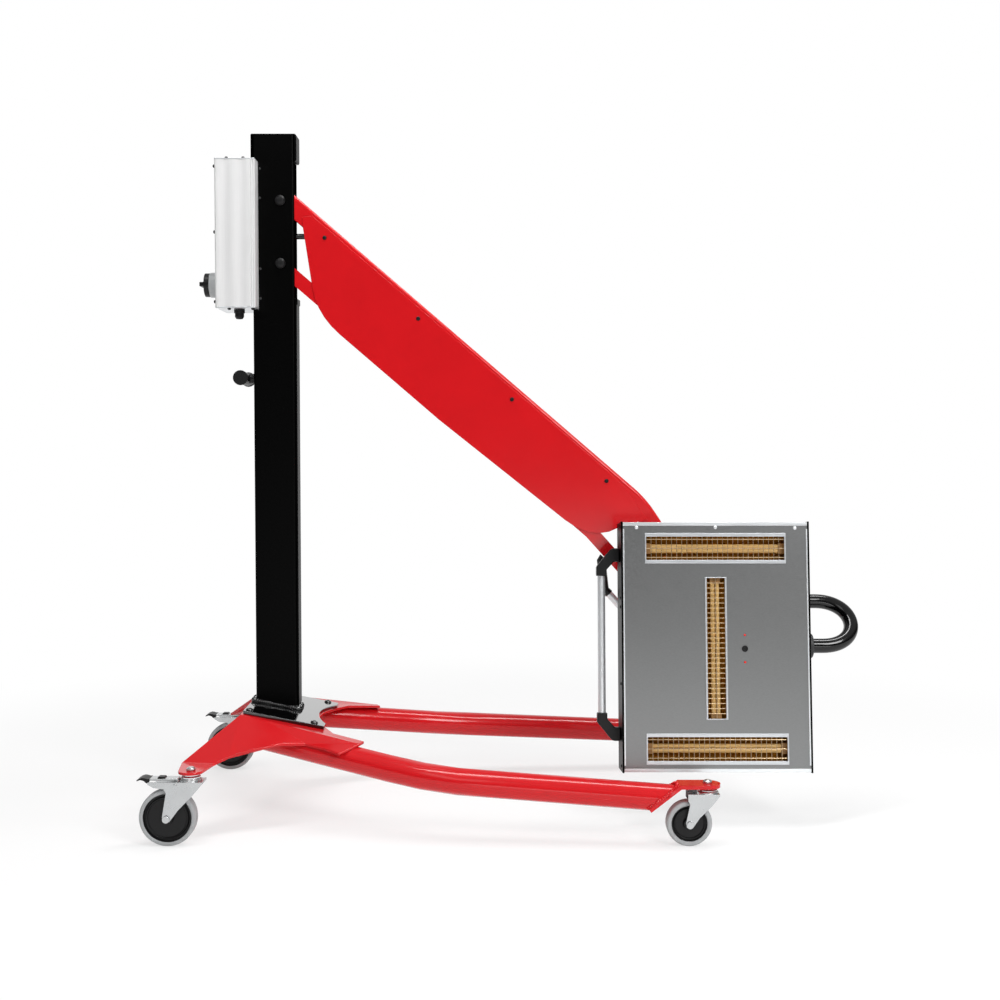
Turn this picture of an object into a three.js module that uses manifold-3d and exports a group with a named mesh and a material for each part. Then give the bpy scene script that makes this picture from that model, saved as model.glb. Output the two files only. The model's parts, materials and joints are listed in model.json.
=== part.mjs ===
// Infrared paint curing lamp on a wheeled stand, in millimetres, Z up.
// X runs from the pillar towards the lamp head, the lamp faces -Y, the floor is Z = 0.

import * as THREE from 'three';
import { mergeVertices } from 'three/addons/utils/BufferGeometryUtils.js';
import Module from 'manifold-3d';

const wasm = await Module();
wasm.setup();

// Clearances and shared sizes
const seat = 0.3; // between pieces that touch
const mergeDistance = 1e-4;
const overrun = 5; // how far a cutting tool passes the face that it cuts
const roundSides = 18;
const arcSteps = 5;
const degree = Math.PI / 180;

// Base frame: a pressed sheet, two leg tubes and the foot plate under the pillar
const base = { sheet: 6, rearX: -64.5, rearZ: 248, levelRun: 1, slopeShare: 0.197, boltHole: 6.3 };
const leg = {
  radius: 30,
  wall: 3,
  start: [-18.5, 136.5, 194],
  bend: [399, 307, 132],
  endDrop: 27.4,
  bendReachShare: 0.12,
  sides: 18,
  steps: 12,
};
const pad = {
  width: 56,
  bar: 8,
  slantBack: 126,
  slantDrop: 51,
  turnBack: 60.2,
  tubeBack: 46.5,
  tubeOut: 2.7,
};
const wing = { half: 37, outerBack: 72, innerBack: 59 };
const footPlate = {
  thickness: 8.2,
  rearX: -59.5,
  frontX: 129.5,
  deepX: 101,
  halfWidth: 143,
  arcHalf: 112,
};

// Casters: rear pair with brakes, front pair without
const rearCaster = {
  x: -135.5,
  y: 350,
  radius: 62.5,
  trail: 50,
  crownGap: 26,
  race: 8,
  brake: true,
};
const frontCaster = {
  x: 996.5,
  y: 350,
  radius: 50,
  trail: 41,
  crownGap: 20,
  race: 9,
  brake: false,
};
for (const caster of [rearCaster, frontCaster]) {
  caster.crown = 2 * caster.radius + caster.crownGap;
  caster.under = caster.crown + caster.race;
}
const wheel = { width: 30, hubWidth: 36, tyre: 9, hubRim: 5, dish: 4, boss: 12, bevel: 4 };
const fork = {
  cheek: 3,
  gap: 21,
  tipRadius: 9,
  head: 24,
  neck: 15,
  plate: 4,
  bolt: 6,
  nut: 10,
  nutHeight: 7,
};
const axle = { radius: 5, head: 8, headLength: 4 };
const forkShares = {
  front: 0.58,
  plateRear: -0.36,
  tip: 0.8,
  tipDrop: 0.6,
  tipRise: 0.4,
  nut: 0.6,
  race: 0.5,
};
const pedalShares = {
  pin: -0.6,
  bend: -1.62,
  low: -1.9,
  rim: -1.95,
  end: -2.3,
  tip: -2.36,
  rimRise: 0.6,
};
// Outline of a fork's cheek: shares of the trail along X, and of the drop from the crown to the axle along Z
const cheekFrontShares = [[0.58, 1], [0.58, 0.93], [0.16, 0.59], [-0.48, 0.22]];
const cheekRearShares = [[-1, 0.65], [-1.1, 0.75]];
const brakeArmShares = [[-1.54, 0.79], [-1.8, 0.92], [-1.8, 1]];
const plainArmShares = [[-1.1, 1]];
const pedal = { width: 30, thickness: 5, pin: 3, pinDrop: 8, lug: 4, tipWidth: 40 };

// Pillar and what is on it
const pillar = { halfX: 50, halfY: 25, corner: 6, wall: 3, top: 1617, weld: 6, weldHeight: 7 };
const slot = { topDrop: 67, bottomDrop: 390, halfWidth: 21 };
const cap = { plate: 3, frontSkirt: 6, frontDrop: 65, rearDrop: 61, corner: 4 };
const frontCover = {
  thickness: 4,
  halfWidth: 22,
  bottom: 246,
  topDrop: 391,
  lip: 2,
  lipHeight: 14,
};
const box = {
  reach: 81.5,
  grip: 14,
  halfY: 70,
  topDrop: 66,
  height: 351,
  wall: 2.5,
  endPlate: 3,
  corner: 3,
};
const boxTop = pillar.top - box.topDrop;
const boxBottom = boxTop - box.height;
const boxRear = -pillar.halfX - box.reach;
const boxFront = box.grip - pillar.halfX;
const board = { thickness: 1.6, inset: 16.5, margin: 14 };
const gland = {
  inset: 50,
  y: -30,
  nut: 13,
  nutHeight: 9,
  body: 11,
  bodyHeight: 9,
  tip: 7.5,
  tipHeight: 5,
  bore: 5,
};
const mainSwitch = {
  rise: 60.5,
  base: 30,
  baseDepth: 24,
  knob: 28.5,
  knobDepth: 12,
  bar: 10,
  barHeight: 9.6,
  barShare: 0.94,
};
const peg = { drop: 581, reach: 26, stem: 12, bar: 16, end: 18, endDepth: 6, length: 110 };

// Parallel arm: u runs along the arm from the pillar pivots, v is square to it, upwards
const arm = {
  pivotX: 16.5,
  pivotDrop: 157.8,
  spacing: 149.2,
  angle: 40.7 * degree,
  width: 40,
  wall: 3,
  farU: 1301.5,
  farV: -33.3,
  boltRadius: 6,
  boltClear: 0.3,
  boltHead: 12.5,
  boltHeadHeight: 9,
};
const upperBar = {
  top: 32.5,
  depth: 45,
  rear: 18,
  bendU: 1091.5,
  bendRadius: 280,
  bendAngle: 15.5 * degree,
  beyond: 18,
};
const lowerBar = {
  top: 13.5,
  bottom: -19,
  rear: 16,
  bendU: 985,
  bendAngle: 7.3 * degree,
  eye: 17,
  beyond: 17,
};
const panel = {
  sheet: 2.2,
  top: 22.5,
  rearTop: [80, 22.5],
  rearNotch: [65, 4],
  rearEdge: [77, -9],
  heel: [190, -106],
  heelControl: [240, -150],
  bottomRear: [314.7, -150],
  bottomMiddle: [628.5, -149.8],
  bottomFront: [1015, -134.8],
  toeControl: [1103, -132],
  toe: [1127, -61],
  nose: [1166.9, -4.3],
  frontTop: [1062.5, 20.5],
};
const armHandle = {
  tube: 9,
  elbow: 11,
  insetShare: 1.5,
  sides: 10,
  drop: 52,
  rearU: 1050,
  frontU: 1254,
  run: 52,
  steps: 10,
};
const spring = {
  upperU: 760,
  upperV: -2,
  lowerU: 260,
  lowerV: 10,
  tube: 13,
  tubeStart: 14,
  tubeLength: 232,
  rod: 5,
  eye: 10,
  eyePin: 5,
  eyeWidth: 12,
  rodStart: 50,
  barrel: 8,
  barrelWidth: 22,
  earSheet: 3,
  earHalf: 14,
  earTop: 32,
  earShare: 1.6,
};
const cable = {
  radius: 6.75,
  drop: 240,
  mouth: 3,
  bend: 60,
  steps: 12,
  runV: 21,
  sides: 10,
  stopU: 1085,
  stopSheet: 6,
};

// Head: link at the arm's end, upright spindle, tilt bracket
const link = {
  half: 16,
  eye: 13,
  bar: 13,
  reach: 60,
  neckTopDrop: 123.25,
  neckHeight: 38,
  bossTopDrop: 115.25,
  bossHeight: 60,
  boss: 25,
};
const spindle = { radius: 15, clear: 0.3, cap: 22, capHeight: 6, collar: 24, collarDrop: 183.25 };
const tilt = {
  drop: 190.25,
  knuckle: 14,
  halfKnuckle: 25.5,
  pin: 6,
  ear: 6,
  earRound: 13,
  pinHead: 10,
  pinHeadLength: 6,
};
const turn = { disc: 50, discDepth: 8, stud: 15, flange: 22, flangeDepth: 5, earRoot: 30 };

// Cassette, in its own frame: x to the right, y into it from the front, z up, centre of the front at 0
const cassette = {
  behind: 71,
  drop: 173.75,
  lean: 7.16 * degree,
  halfWidth: 218.6,
  halfHeight: 287.2,
  depth: 105,
  side: 4,
  sideProud: 2,
  casing: 2,
  lip: 8,
  lipSheet: 1.5,
  front: 2,
  frontInset: 1,
};
const patternZ = -4;
const longWindow = {
  halfLength: 160.3,
  halfWidth: 27,
  frameLong: 8.5,
  frameShort: 3.5,
  offset: 230.7,
};
const tallWindow = { halfLength: 161.7, halfWidth: 20.8, frameLong: 4.6, frameShort: 2.3 };
const windowFrame = { proud: 1.5 };
const grille = { sheet: 1.5, wire: 1.8, pitch: 30, overlap: 3 };
const tray = { sheet: 1.5, troughWall: 1.5, sides: 20 };
const lamp = { tube: 5.5, cap: 8, capLength: 14, depthShare: 0.45 };
const sensor = {
  x: 66,
  z: -5.3,
  lens: 7,
  spot: 2.6,
  spotPitch: 31.3,
  halfX: 15,
  halfZ: 40,
  depth: 22,
  margin: 4,
};
const sideHandle = {
  out: 42.9,
  y: 52,
  halfLength: 165,
  tube: 9,
  elbow: 13,
  socket: 15,
  reach: 24,
  drop: 48,
  sides: 8,
  steps: 8,
};
const hose = {
  radius: 17,
  y: 52,
  lowZ: 0,
  highY: 127.3,
  highZ: 105,
  straight: 24,
  bulge: 102,
  sides: 12,
  steps: 32,
  glandFlange: 28.5,
  glandCone: 22,
  glandLength: 14,
  entryX: 175,
  entryLength: 64,
  entryDepth: 44,
  entryHalfZ: 22,
};

// Finishes
const finish = {
  red: { color: 0xcb2027, roughness: 0.35, metalness: 0.1 },
  black: { color: 0x141414, roughness: 0.45, metalness: 0.1 },
  gloss: { color: 0x161616, roughness: 0.2, metalness: 0.1 },
  plastic: { color: 0x1a1a1a, roughness: 0.6, metalness: 0 },
  zinc: { color: 0xc9ccce, roughness: 0.35, metalness: 0.9 },
  aluminium: { color: 0xdfe1e2, roughness: 0.4, metalness: 0.8 },
  brushed: { color: 0x9a9c9e, roughness: 0.4, metalness: 0.9 },
  gold: { color: 0xc99a4a, roughness: 0.25, metalness: 1 },
  glass: { color: 0xe8d8b8, roughness: 0.1, metalness: 0 },
  rubber: { color: 0x8b8d8f, roughness: 0.8, metalness: 0 },
  board: { color: 0x1f5c3a, roughness: 0.6, metalness: 0 },
  light: { color: 0xb9bcbe, roughness: 0.5, metalness: 0 },
};

// Geometry tools
function toSolid(geometry) {
  const plain = geometry.clone();
  plain.deleteAttribute('normal');
  plain.deleteAttribute('uv');
  const merged = mergeVertices(plain, mergeDistance);
  const vertProperties = merged.attributes.position.array;
  const triVerts = new Uint32Array(merged.index.array);
  return new wasm.Manifold(new wasm.Mesh({ numProp: 3, vertProperties, triVerts }));
}

function toGeometry(solid) {
  const mesh = solid.getMesh();
  const geometry = new THREE.BufferGeometry();
  geometry.setAttribute('position', new THREE.BufferAttribute(mesh.vertProperties, 3));
  geometry.setIndex(new THREE.BufferAttribute(mesh.triVerts, 1));
  geometry.computeVertexNormals();
  return geometry;
}

function join(...parts) {
  return toGeometry(parts.map(toSolid).reduce((sum, part) => sum.add(part)));
}

function cut(body, ...tools) {
  return toGeometry(tools.map(toSolid).reduce((rest, tool) => rest.subtract(tool), toSolid(body)));
}

function block([x0, x1], [y0, y1], [z0, z1]) {
  const geometry = new THREE.BoxGeometry(x1 - x0, y1 - y0, z1 - z0);
  return geometry.translate((x0 + x1) / 2, (y0 + y1) / 2, (z0 + z1) / 2);
}

function outline(points) {
  return new THREE.Shape(points.map(([a, b]) => new THREE.Vector2(a, b)));
}

// Outline in x and y, raised from z0 to z1
function prismZ(shape, [z0, z1]) {
  const settings = { depth: z1 - z0, bevelEnabled: false, curveSegments: arcSteps };
  return new THREE.ExtrudeGeometry(shape, settings).translate(0, 0, z0);
}

// Outline in x and z, from y0 to y1
function prismY(shape, [y0, y1]) {
  return prismZ(shape, [-y1, -y0]).rotateX(90 * degree);
}

// Outline in y and z, from x0 to x1
function prismX(shape, [x0, x1]) {
  const turned = new THREE.Matrix4().makeBasis(
    new THREE.Vector3(0, 1, 0),
    new THREE.Vector3(0, 0, 1),
    new THREE.Vector3(1, 0, 0),
  );
  return prismZ(shape, [x0, x1]).applyMatrix4(turned);
}

// Turned piece from [radius, height] pairs, along z, y or x
function turned(points, along, sides = roundSides) {
  const geometry = new THREE.LatheGeometry(points.map(([r, h]) => new THREE.Vector2(r, h)), sides);
  if (along === 'z') geometry.rotateX(90 * degree);
  if (along === 'x') geometry.rotateZ(-90 * degree);
  return geometry;
}

function roundBar(radius, [low, high], along, sides = roundSides) {
  return turned([[0, low], [radius, low], [radius, high], [0, high]], along, sides);
}

function at(geometry, x, y, z) {
  return geometry.translate(x, y, z);
}

function roundedRectangle(halfX, halfY, radius) {
  const shape = new THREE.Shape();
  shape.absarc(halfX - radius, halfY - radius, radius, 0, 90 * degree);
  shape.absarc(radius - halfX, halfY - radius, radius, 90 * degree, 180 * degree);
  shape.absarc(radius - halfX, radius - halfY, radius, 180 * degree, 270 * degree);
  shape.absarc(halfX - radius, radius - halfY, radius, 270 * degree, 360 * degree);
  return shape;
}

// Bar or tube along a path of straight and curved stretches
function pipe(path, radius, sides, steps, bore = 0) {
  const section = outline(circlePoints(radius, sides));
  if (bore > 0) {
    const inside = circlePoints(bore, sides).map(([a, b]) => new THREE.Vector2(a, b));
    section.holes.push(new THREE.Path(inside));
  }
  return new THREE.ExtrudeGeometry(section, { steps, extrudePath: path, bevelEnabled: false });
}

function circlePoints(radius, sides) {
  const points = [];
  for (let i = 0; i < sides; i += 1) {
    const turn = (i / sides) * 360 * degree;
    points.push([radius * Math.cos(turn), radius * Math.sin(turn)]);
  }
  return points;
}

// Path through points, straight between them, with each inner corner rounded over the given reach
function roundedPath(points, reach) {
  const path = new THREE.CurvePath();
  const corners = points.map((point) => new THREE.Vector3(...point));
  let last = corners[0];
  for (let i = 1; i < corners.length - 1; i += 1) {
    const before = corners[i].clone().sub(corners[i - 1]).setLength(reach);
    const after = corners[i + 1].clone().sub(corners[i]).setLength(reach);
    const into = corners[i].clone().sub(before);
    const out = corners[i].clone().add(after);
    path.add(new THREE.LineCurve3(last, into));
    path.add(new THREE.QuadraticBezierCurve3(into, corners[i], out));
    last = out;
  }
  path.add(new THREE.LineCurve3(last, corners[corners.length - 1]));
  return path;
}

// Folded sheet: flat faces given by their corners, made solid upwards by rise and downwards by drop
function foldedSheet(faces, rise, drop) {
  const corners = [];
  const triangles = [];
  const edges = new Map();
  const indexOf = (corner) => {
    const found = corners.findIndex((known) => known.distanceTo(corner) < mergeDistance);
    return found < 0 ? corners.push(corner) - 1 : found;
  };
  for (const face of faces) {
    const plan = face.map(([x, y]) => new THREE.Vector2(x, y));
    const loop = THREE.ShapeUtils.area(plan) > 0 ? face : face.slice().reverse();
    const flat = loop.map(([x, y]) => new THREE.Vector2(x, y));
    const ids = loop.map((point) => indexOf(new THREE.Vector3(...point)));
    for (const triangle of THREE.ShapeUtils.triangulateShape(flat, [])) {
      triangles.push(triangle.map((corner) => ids[corner]));
    }
  }
  for (const [a, b, c] of triangles) {
    for (const [from, to] of [[a, b], [b, c], [c, a]]) edges.set(`${from}_${to}`, [from, to]);
  }
  const count = corners.length;
  const positions = [];
  for (const corner of corners) positions.push(corner.x, corner.y, corner.z + rise);
  for (const corner of corners) positions.push(corner.x, corner.y, corner.z - drop);
  const index = [];
  for (const [a, b, c] of triangles) index.push(a, b, c, c + count, b + count, a + count);
  for (const [from, to] of edges.values()) {
    if (edges.has(`${to}_${from}`)) continue;
    index.push(from, from + count, to, to, from + count, to + count);
  }
  const geometry = new THREE.BufferGeometry();
  geometry.setAttribute('position', new THREE.Float32BufferAttribute(positions, 3));
  geometry.setIndex(index);
  return geometry;
}

function piece(name, geometry, look) {
  const mesh = new THREE.Mesh(geometry, new THREE.MeshStandardMaterial(look));
  mesh.name = name;
  geometry.computeVertexNormals();
  return mesh;
}

const stand = new THREE.Group();

// Levels that hang from the pillar's top
const pivotZ = pillar.top - arm.pivotDrop;
const cableZ = pillar.top - cable.drop;

// Base sheet
const sheetPlane = (x) => base.rearZ - base.slopeShare * (x - base.rearX - base.levelRun);
const onPlane = ([x, y]) => [x, y, sheetPlane(x)];
const sheetPoint = {
  rear: [base.rearX, -152],
  middle: [-1.4, -160],
  front: [129.5, -177],
};
const fingerFold = [222, -233, 197];
const fingerTip = [230, -211, 198];
const fingerInner = [154, -166, 206.8];
const innerEdge = [[124, -105], [107, -52], [102, 0]];
const padTop = rearCaster.under + base.sheet;
const wingOuter = [rearCaster.x - wing.half, wing.outerBack - rearCaster.y, padTop];
const wingInner = [rearCaster.x + wing.half, wing.innerBack - rearCaster.y, padTop];
const wingEdge = [[-67.4, -273.4, 178], [-44.1, -264.5, 186], [-16.2, -259, 191]];
const wingFoot = [26, -236, 195];
const flangeEdge = [[40, -228, 196], [96.5, -217, 194], [140, -236, 189], [178.5, -262, 182]];
const padEnd = [];
for (let i = 0; i <= 8; i += 1) {
  const swing = (180 + (180 * i) / 8) * degree;
  padEnd.push([
    rearCaster.x + (pad.width / 2) * Math.cos(swing),
    -rearCaster.y + (pad.width / 2) * Math.sin(swing),
    padTop,
  ]);
}
const foldRear = onPlane(sheetPoint.rear);
const foldMiddle = onPlane(sheetPoint.middle);
const foldFront = onPlane(sheetPoint.front);
const mirrored = ([x, y, z]) => [x, -y, z];
const halfInner = innerEdge.map(onPlane);
const nearFaces = [
  [foldRear, wingOuter, wingInner, ...wingEdge, wingFoot, foldMiddle],
  [foldMiddle, wingFoot, ...flangeEdge, fingerFold, foldFront],
  [foldFront, fingerFold, fingerTip, fingerInner, halfInner[0]],
  [wingOuter, ...padEnd, wingInner],
];
const centreFace = [
  foldRear,
  foldMiddle,
  foldFront,
  ...halfInner,
  ...halfInner.slice(0, -1).reverse().map(mirrored),
  mirrored(foldFront),
  mirrored(foldMiddle),
  mirrored(foldRear),
];
const sheetFaces = [...nearFaces, ...nearFaces.map((face) => face.map(mirrored)), centreFace];

function baseSheet() {
  const holes = [-1, 1].map((side) => at(
    roundBar(base.boltHole, [rearCaster.under - overrun, padTop + overrun], 'z'),
    rearCaster.x,
    side * rearCaster.y,
    0,
  ));
  return cut(foldedSheet(sheetFaces, 0, base.sheet), ...holes);
}
stand.add(piece('base_sheet', baseSheet(), finish.red));

// Legs: tube under the sheet, cut slanting at the front, with the caster's bar welded on
function legTube(side) {
  const under = frontCaster.under;
  const end = [frontCaster.x - pad.tubeBack, frontCaster.y + pad.tubeOut, under - leg.endDrop];
  const points = [leg.start, leg.bend, end].map(([x, y, z]) => [x, side * y, z]);
  const reach = (leg.bend[0] - leg.start[0]) * leg.bendReachShare * 2;
  const path = roundedPath(points, reach);
  const tube = pipe(path, leg.radius, leg.sides, leg.steps, leg.radius - leg.wall);
  const slantX = frontCaster.x - pad.slantBack;
  const turnX = frontCaster.x - pad.turnBack;
  const slantZ = under - pad.slantDrop;
  const slope = Math.atan2(pad.slantDrop, turnX - slantX);
  const up = [-pad.bar * Math.sin(slope), pad.bar * Math.cos(slope)];
  const innerTurn = turnX + up[0] + (pad.bar - up[1]) / Math.tan(slope);
  const padEndX = frontCaster.x + pad.width / 2;
  const barShape = outline([
    [slantX, slantZ],
    [turnX, under],
    [padEndX, under],
    [padEndX, under + pad.bar],
    [innerTurn, under + pad.bar],
    [slantX + up[0], slantZ + up[1]],
  ]);
  const far = leg.radius * 4;
  const middle = [slantX + up[0] / 2, slantZ + up[1] / 2];
  const along = [Math.cos(slope), Math.sin(slope)];
  const beyond = outline([
    [middle[0] - far * along[0], middle[1] - far * along[1]],
    [middle[0] + far * along[0], middle[1] - far * along[1]],
    [middle[0] + far * along[0], middle[1] + far * along[1]],
  ]);
  const yMid = side * frontCaster.y;
  const plan = new THREE.Shape();
  plan.moveTo(slantX - far, yMid - pad.width / 2);
  plan.lineTo(frontCaster.x, yMid - pad.width / 2);
  plan.absarc(frontCaster.x, yMid, pad.width / 2, -90 * degree, 90 * degree);
  plan.lineTo(slantX - far, yMid + pad.width / 2);
  const bar = toSolid(prismY(barShape, [yMid - pad.width / 2, yMid + pad.width / 2]));
  const rounded = bar.intersect(toSolid(prismZ(plan, [0, under + leg.radius])));
  const yBand = [yMid - far, yMid + far];
  const drill = roundBar(base.boltHole, [under - overrun, under + pad.bar + overrun], 'z');
  const hole = at(drill, frontCaster.x, yMid, 0);
  const body = toSolid(tube)
    .subtract(toSolid(prismY(beyond, yBand)))
    .subtract(toSolid(foldedSheet(sheetFaces, leg.radius * 2, base.sheet + 2 * seat)))
    .add(rounded)
    .subtract(toSolid(hole));
  return toGeometry(body);
}
stand.add(piece('leg_near', legTube(-1), finish.red));
stand.add(piece('leg_far', legTube(1), finish.red));

// Foot plate, lying on the sheet
const platePlane = (x) => sheetPlane(x) + seat;
const plateTop = (x) => platePlane(x) + footPlate.thickness;
function footPlateShape() {
  const points = [[footPlate.rearX, -footPlate.halfWidth], [footPlate.frontX, -footPlate.halfWidth]];
  const depth = footPlate.frontX - footPlate.deepX;
  for (let i = 0; i <= 12; i += 1) {
    const share = (i / 12) * 2 - 1;
    points.push([footPlate.deepX + depth * share * share, share * footPlate.arcHalf]);
  }
  points.push([footPlate.frontX, footPlate.halfWidth], [footPlate.rearX, footPlate.halfWidth]);
  return points.map(([x, y]) => [x, y, platePlane(x)]);
}
stand.add(piece('foot_plate', foldedSheet([footPlateShape()], footPlate.thickness, 0), finish.gloss));

// Pillar: rectangular tube with a weld round its foot and a slot for the arm
const footLow = plateTop(pillar.halfX + pillar.weld) - overrun;
function footRectangle(halfX, halfY) {
  const corners = [[-halfX, -halfY], [halfX, -halfY], [halfX, halfY], [-halfX, halfY]];
  return corners.map(([x, y]) => [x, y, plateTop(x) + seat]);
}
function pillarTube() {
  const top = pillar.top - cap.plate - seat;
  const outer = prismZ(roundedRectangle(pillar.halfX, pillar.halfY, pillar.corner), [footLow, top]);
  const innerRadius = pillar.corner - pillar.wall;
  const inner = roundedRectangle(pillar.halfX - pillar.wall, pillar.halfY - pillar.wall, innerRadius);
  const bore = prismZ(inner, [footLow - overrun, top + overrun]);
  const weldFoot = footRectangle(pillar.halfX + pillar.weld, pillar.halfY + pillar.weld);
  const weld = foldedSheet([weldFoot], pillar.weldHeight, 0);
  const far = pillar.halfX * 2;
  const below = foldedSheet([footRectangle(far, far)], 0, far);
  const armSlot = block(
    [pillar.halfX - pillar.wall - overrun, pillar.halfX + overrun],
    [-slot.halfWidth, slot.halfWidth],
    [pillar.top - slot.bottomDrop, pillar.top - slot.topDrop],
  );
  const reach = pillar.halfY + overrun;
  const holeRadius = arm.boltRadius + arm.boltClear;
  const upperHole = at(roundBar(holeRadius, [-reach, reach], 'y'), arm.pivotX, 0, pivotZ);
  const lowerHole = at(roundBar(holeRadius, [-reach, reach], 'y'), arm.pivotX, 0, pivotZ - arm.spacing);
  const rearWall = [-pillar.halfX - overrun, -pillar.halfX + pillar.wall + overrun];
  const cableHole = at(roundBar(cable.radius + seat, rearWall, 'x'), 0, 0, cableZ);
  return cut(join(cut(outer, below), weld), bore, armSlot, upperHole, lowerHole, cableHole);
}
stand.add(piece('pillar', pillarTube(), finish.black));

function pillarCap() {
  const front = pillar.halfX + seat + cap.frontSkirt;
  const rear = -pillar.halfX - seat - cap.plate;
  const under = pillar.top - cap.plate;
  const frontBottom = pillar.top - cap.frontDrop;
  const rearBottom = pillar.top - cap.rearDrop;
  const shape = outline([
    [rear, rearBottom],
    [-pillar.halfX - seat, rearBottom],
    [-pillar.halfX - seat, under],
    [pillar.halfX + seat, under],
    [pillar.halfX + seat, frontBottom],
    [front - cap.corner / 2, frontBottom],
    [front, frontBottom + cap.corner],
    [front, pillar.top - cap.corner],
    [front - cap.corner, pillar.top],
    [rear + cap.corner / 2, pillar.top],
    [rear, pillar.top - cap.corner / 2],
  ]);
  return prismY(shape, [-pillar.halfY, pillar.halfY]);
}
stand.add(piece('pillar_cap', pillarCap(), finish.black));

function frontCoverStrip() {
  const face = pillar.halfX + seat;
  const coverTop = pillar.top - frontCover.topDrop;
  const shape = outline([
    [face, frontCover.bottom],
    [face + frontCover.thickness, frontCover.bottom],
    [face + frontCover.thickness, coverTop - frontCover.lipHeight],
    [face + frontCover.thickness + frontCover.lip, coverTop - frontCover.lipHeight],
    [face + frontCover.thickness + frontCover.lip, coverTop],
    [face, coverTop],
  ]);
  return prismY(shape, [-frontCover.halfWidth, frontCover.halfWidth]);
}
stand.add(piece('pillar_front_cover', frontCoverStrip(), finish.black));

// Control box: extruded housing that grips the pillar's rear corners, with end plates
const boxOutline = [
  [boxRear, box.corner - box.halfY],
  [boxRear + box.corner, -box.halfY],
  [boxFront, -box.halfY],
  [boxFront, -pillar.halfY - seat],
  [-pillar.halfX - seat, -pillar.halfY - seat],
  [-pillar.halfX - seat, pillar.halfY + seat],
  [boxFront, pillar.halfY + seat],
  [boxFront, box.halfY],
  [boxRear + box.corner, box.halfY],
  [boxRear, box.halfY - box.corner],
];
function controlBox() {
  const shape = outline(boxOutline);
  const low = boxBottom + box.endPlate + seat;
  const high = boxTop - box.endPlate - seat;
  const roomFront = -pillar.halfX - seat - box.wall;
  const roomY = box.halfY - box.wall;
  const room = block([boxRear + box.wall, roomFront], [-roomY, roomY], [low - overrun, high + overrun]);
  const pockets = [-1, 1].map((side) => {
    const inner = pillar.halfY + seat + box.wall;
    const y = side > 0 ? [inner, roomY] : [-roomY, -inner];
    return block([roomFront - overrun, boxFront - box.wall], y, [low - overrun, high + overrun]);
  });
  const frontWall = [roomFront - overrun, -pillar.halfX + overrun];
  const cableHole = at(roundBar(cable.radius + seat, frontWall, 'x'), 0, 0, cableZ);
  return cut(prismZ(shape, [low, high]), room, ...pockets, cableHole);
}
stand.add(piece('control_box', controlBox(), finish.aluminium));
const topBand = [boxTop - box.endPlate, boxTop];
const bottomBand = [boxBottom, boxBottom + box.endPlate];
stand.add(piece('control_box_top', prismZ(outline(boxOutline), topBand), finish.aluminium));
stand.add(piece('control_box_bottom', prismZ(outline(boxOutline), bottomBand), finish.aluminium));

const boardX = boxRear + board.inset;
const boardY = box.halfY - box.wall - seat;
const boardBand = [boxBottom + board.margin, boxTop - board.margin];
const boardPlate = block([boardX - board.thickness, boardX], [-boardY, boardY], boardBand);
stand.add(piece('control_board', boardPlate, finish.board));

function cableGland() {
  const top = boxBottom - seat;
  const nutLow = top - gland.nutHeight;
  const bodyLow = nutLow - gland.bodyHeight;
  const tipLow = bodyLow - gland.tipHeight;
  const profile = [
    [0, nutLow],
    [gland.bore, nutLow],
    [gland.bore, tipLow],
    [gland.tip, tipLow],
    [gland.body, bodyLow],
    [gland.body, nutLow],
    [gland.nut, nutLow],
    [gland.nut, top],
    [0, top],
  ];
  return at(turned(profile, 'z', 12), boxRear + gland.inset, gland.y, 0);
}
stand.add(piece('cable_gland', cableGland(), finish.plastic));

const switchZ = boxBottom + mainSwitch.rise;
const switchFace = boxRear - seat - mainSwitch.baseDepth;
const switchBase = at(roundBar(mainSwitch.base, [switchFace, boxRear - seat], 'x'), 0, 0, switchZ);
stand.add(piece('switch_base', switchBase, finish.light));

function switchKnob() {
  const face = switchFace - seat;
  const disc = roundBar(mainSwitch.knob, [face - mainSwitch.knobDepth, face], 'x');
  const bar = block(
    [face - mainSwitch.knobDepth - mainSwitch.barHeight, face - mainSwitch.knobDepth / 2],
    [-mainSwitch.knob * mainSwitch.barShare, mainSwitch.knob * mainSwitch.barShare],
    [-mainSwitch.bar / 2, mainSwitch.bar / 2],
  );
  return join(disc, bar);
}
const knobGroup = new THREE.Group();
knobGroup.position.set(0, 0, switchZ);
knobGroup.add(piece('main_switch_knob', switchKnob(), finish.plastic));
stand.add(knobGroup);

// Push handle: a T peg on the pillar's rear face
function pushHandle() {
  const face = -pillar.halfX - seat;
  const stem = roundBar(peg.stem, [face - peg.reach, face], 'x');
  const half = peg.length / 2;
  const bar = at(turned([
    [0, -half],
    [peg.end, -half],
    [peg.end, peg.endDepth - half],
    [peg.bar, peg.endDepth - half],
    [peg.bar, half - peg.endDepth],
    [peg.end, half - peg.endDepth],
    [peg.end, half],
    [0, half],
  ], 'y'), face - peg.reach, 0, 0);
  return at(join(stem, bar), 0, 0, pillar.top - peg.drop);
}
stand.add(piece('push_handle', pushHandle(), finish.plastic));

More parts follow.
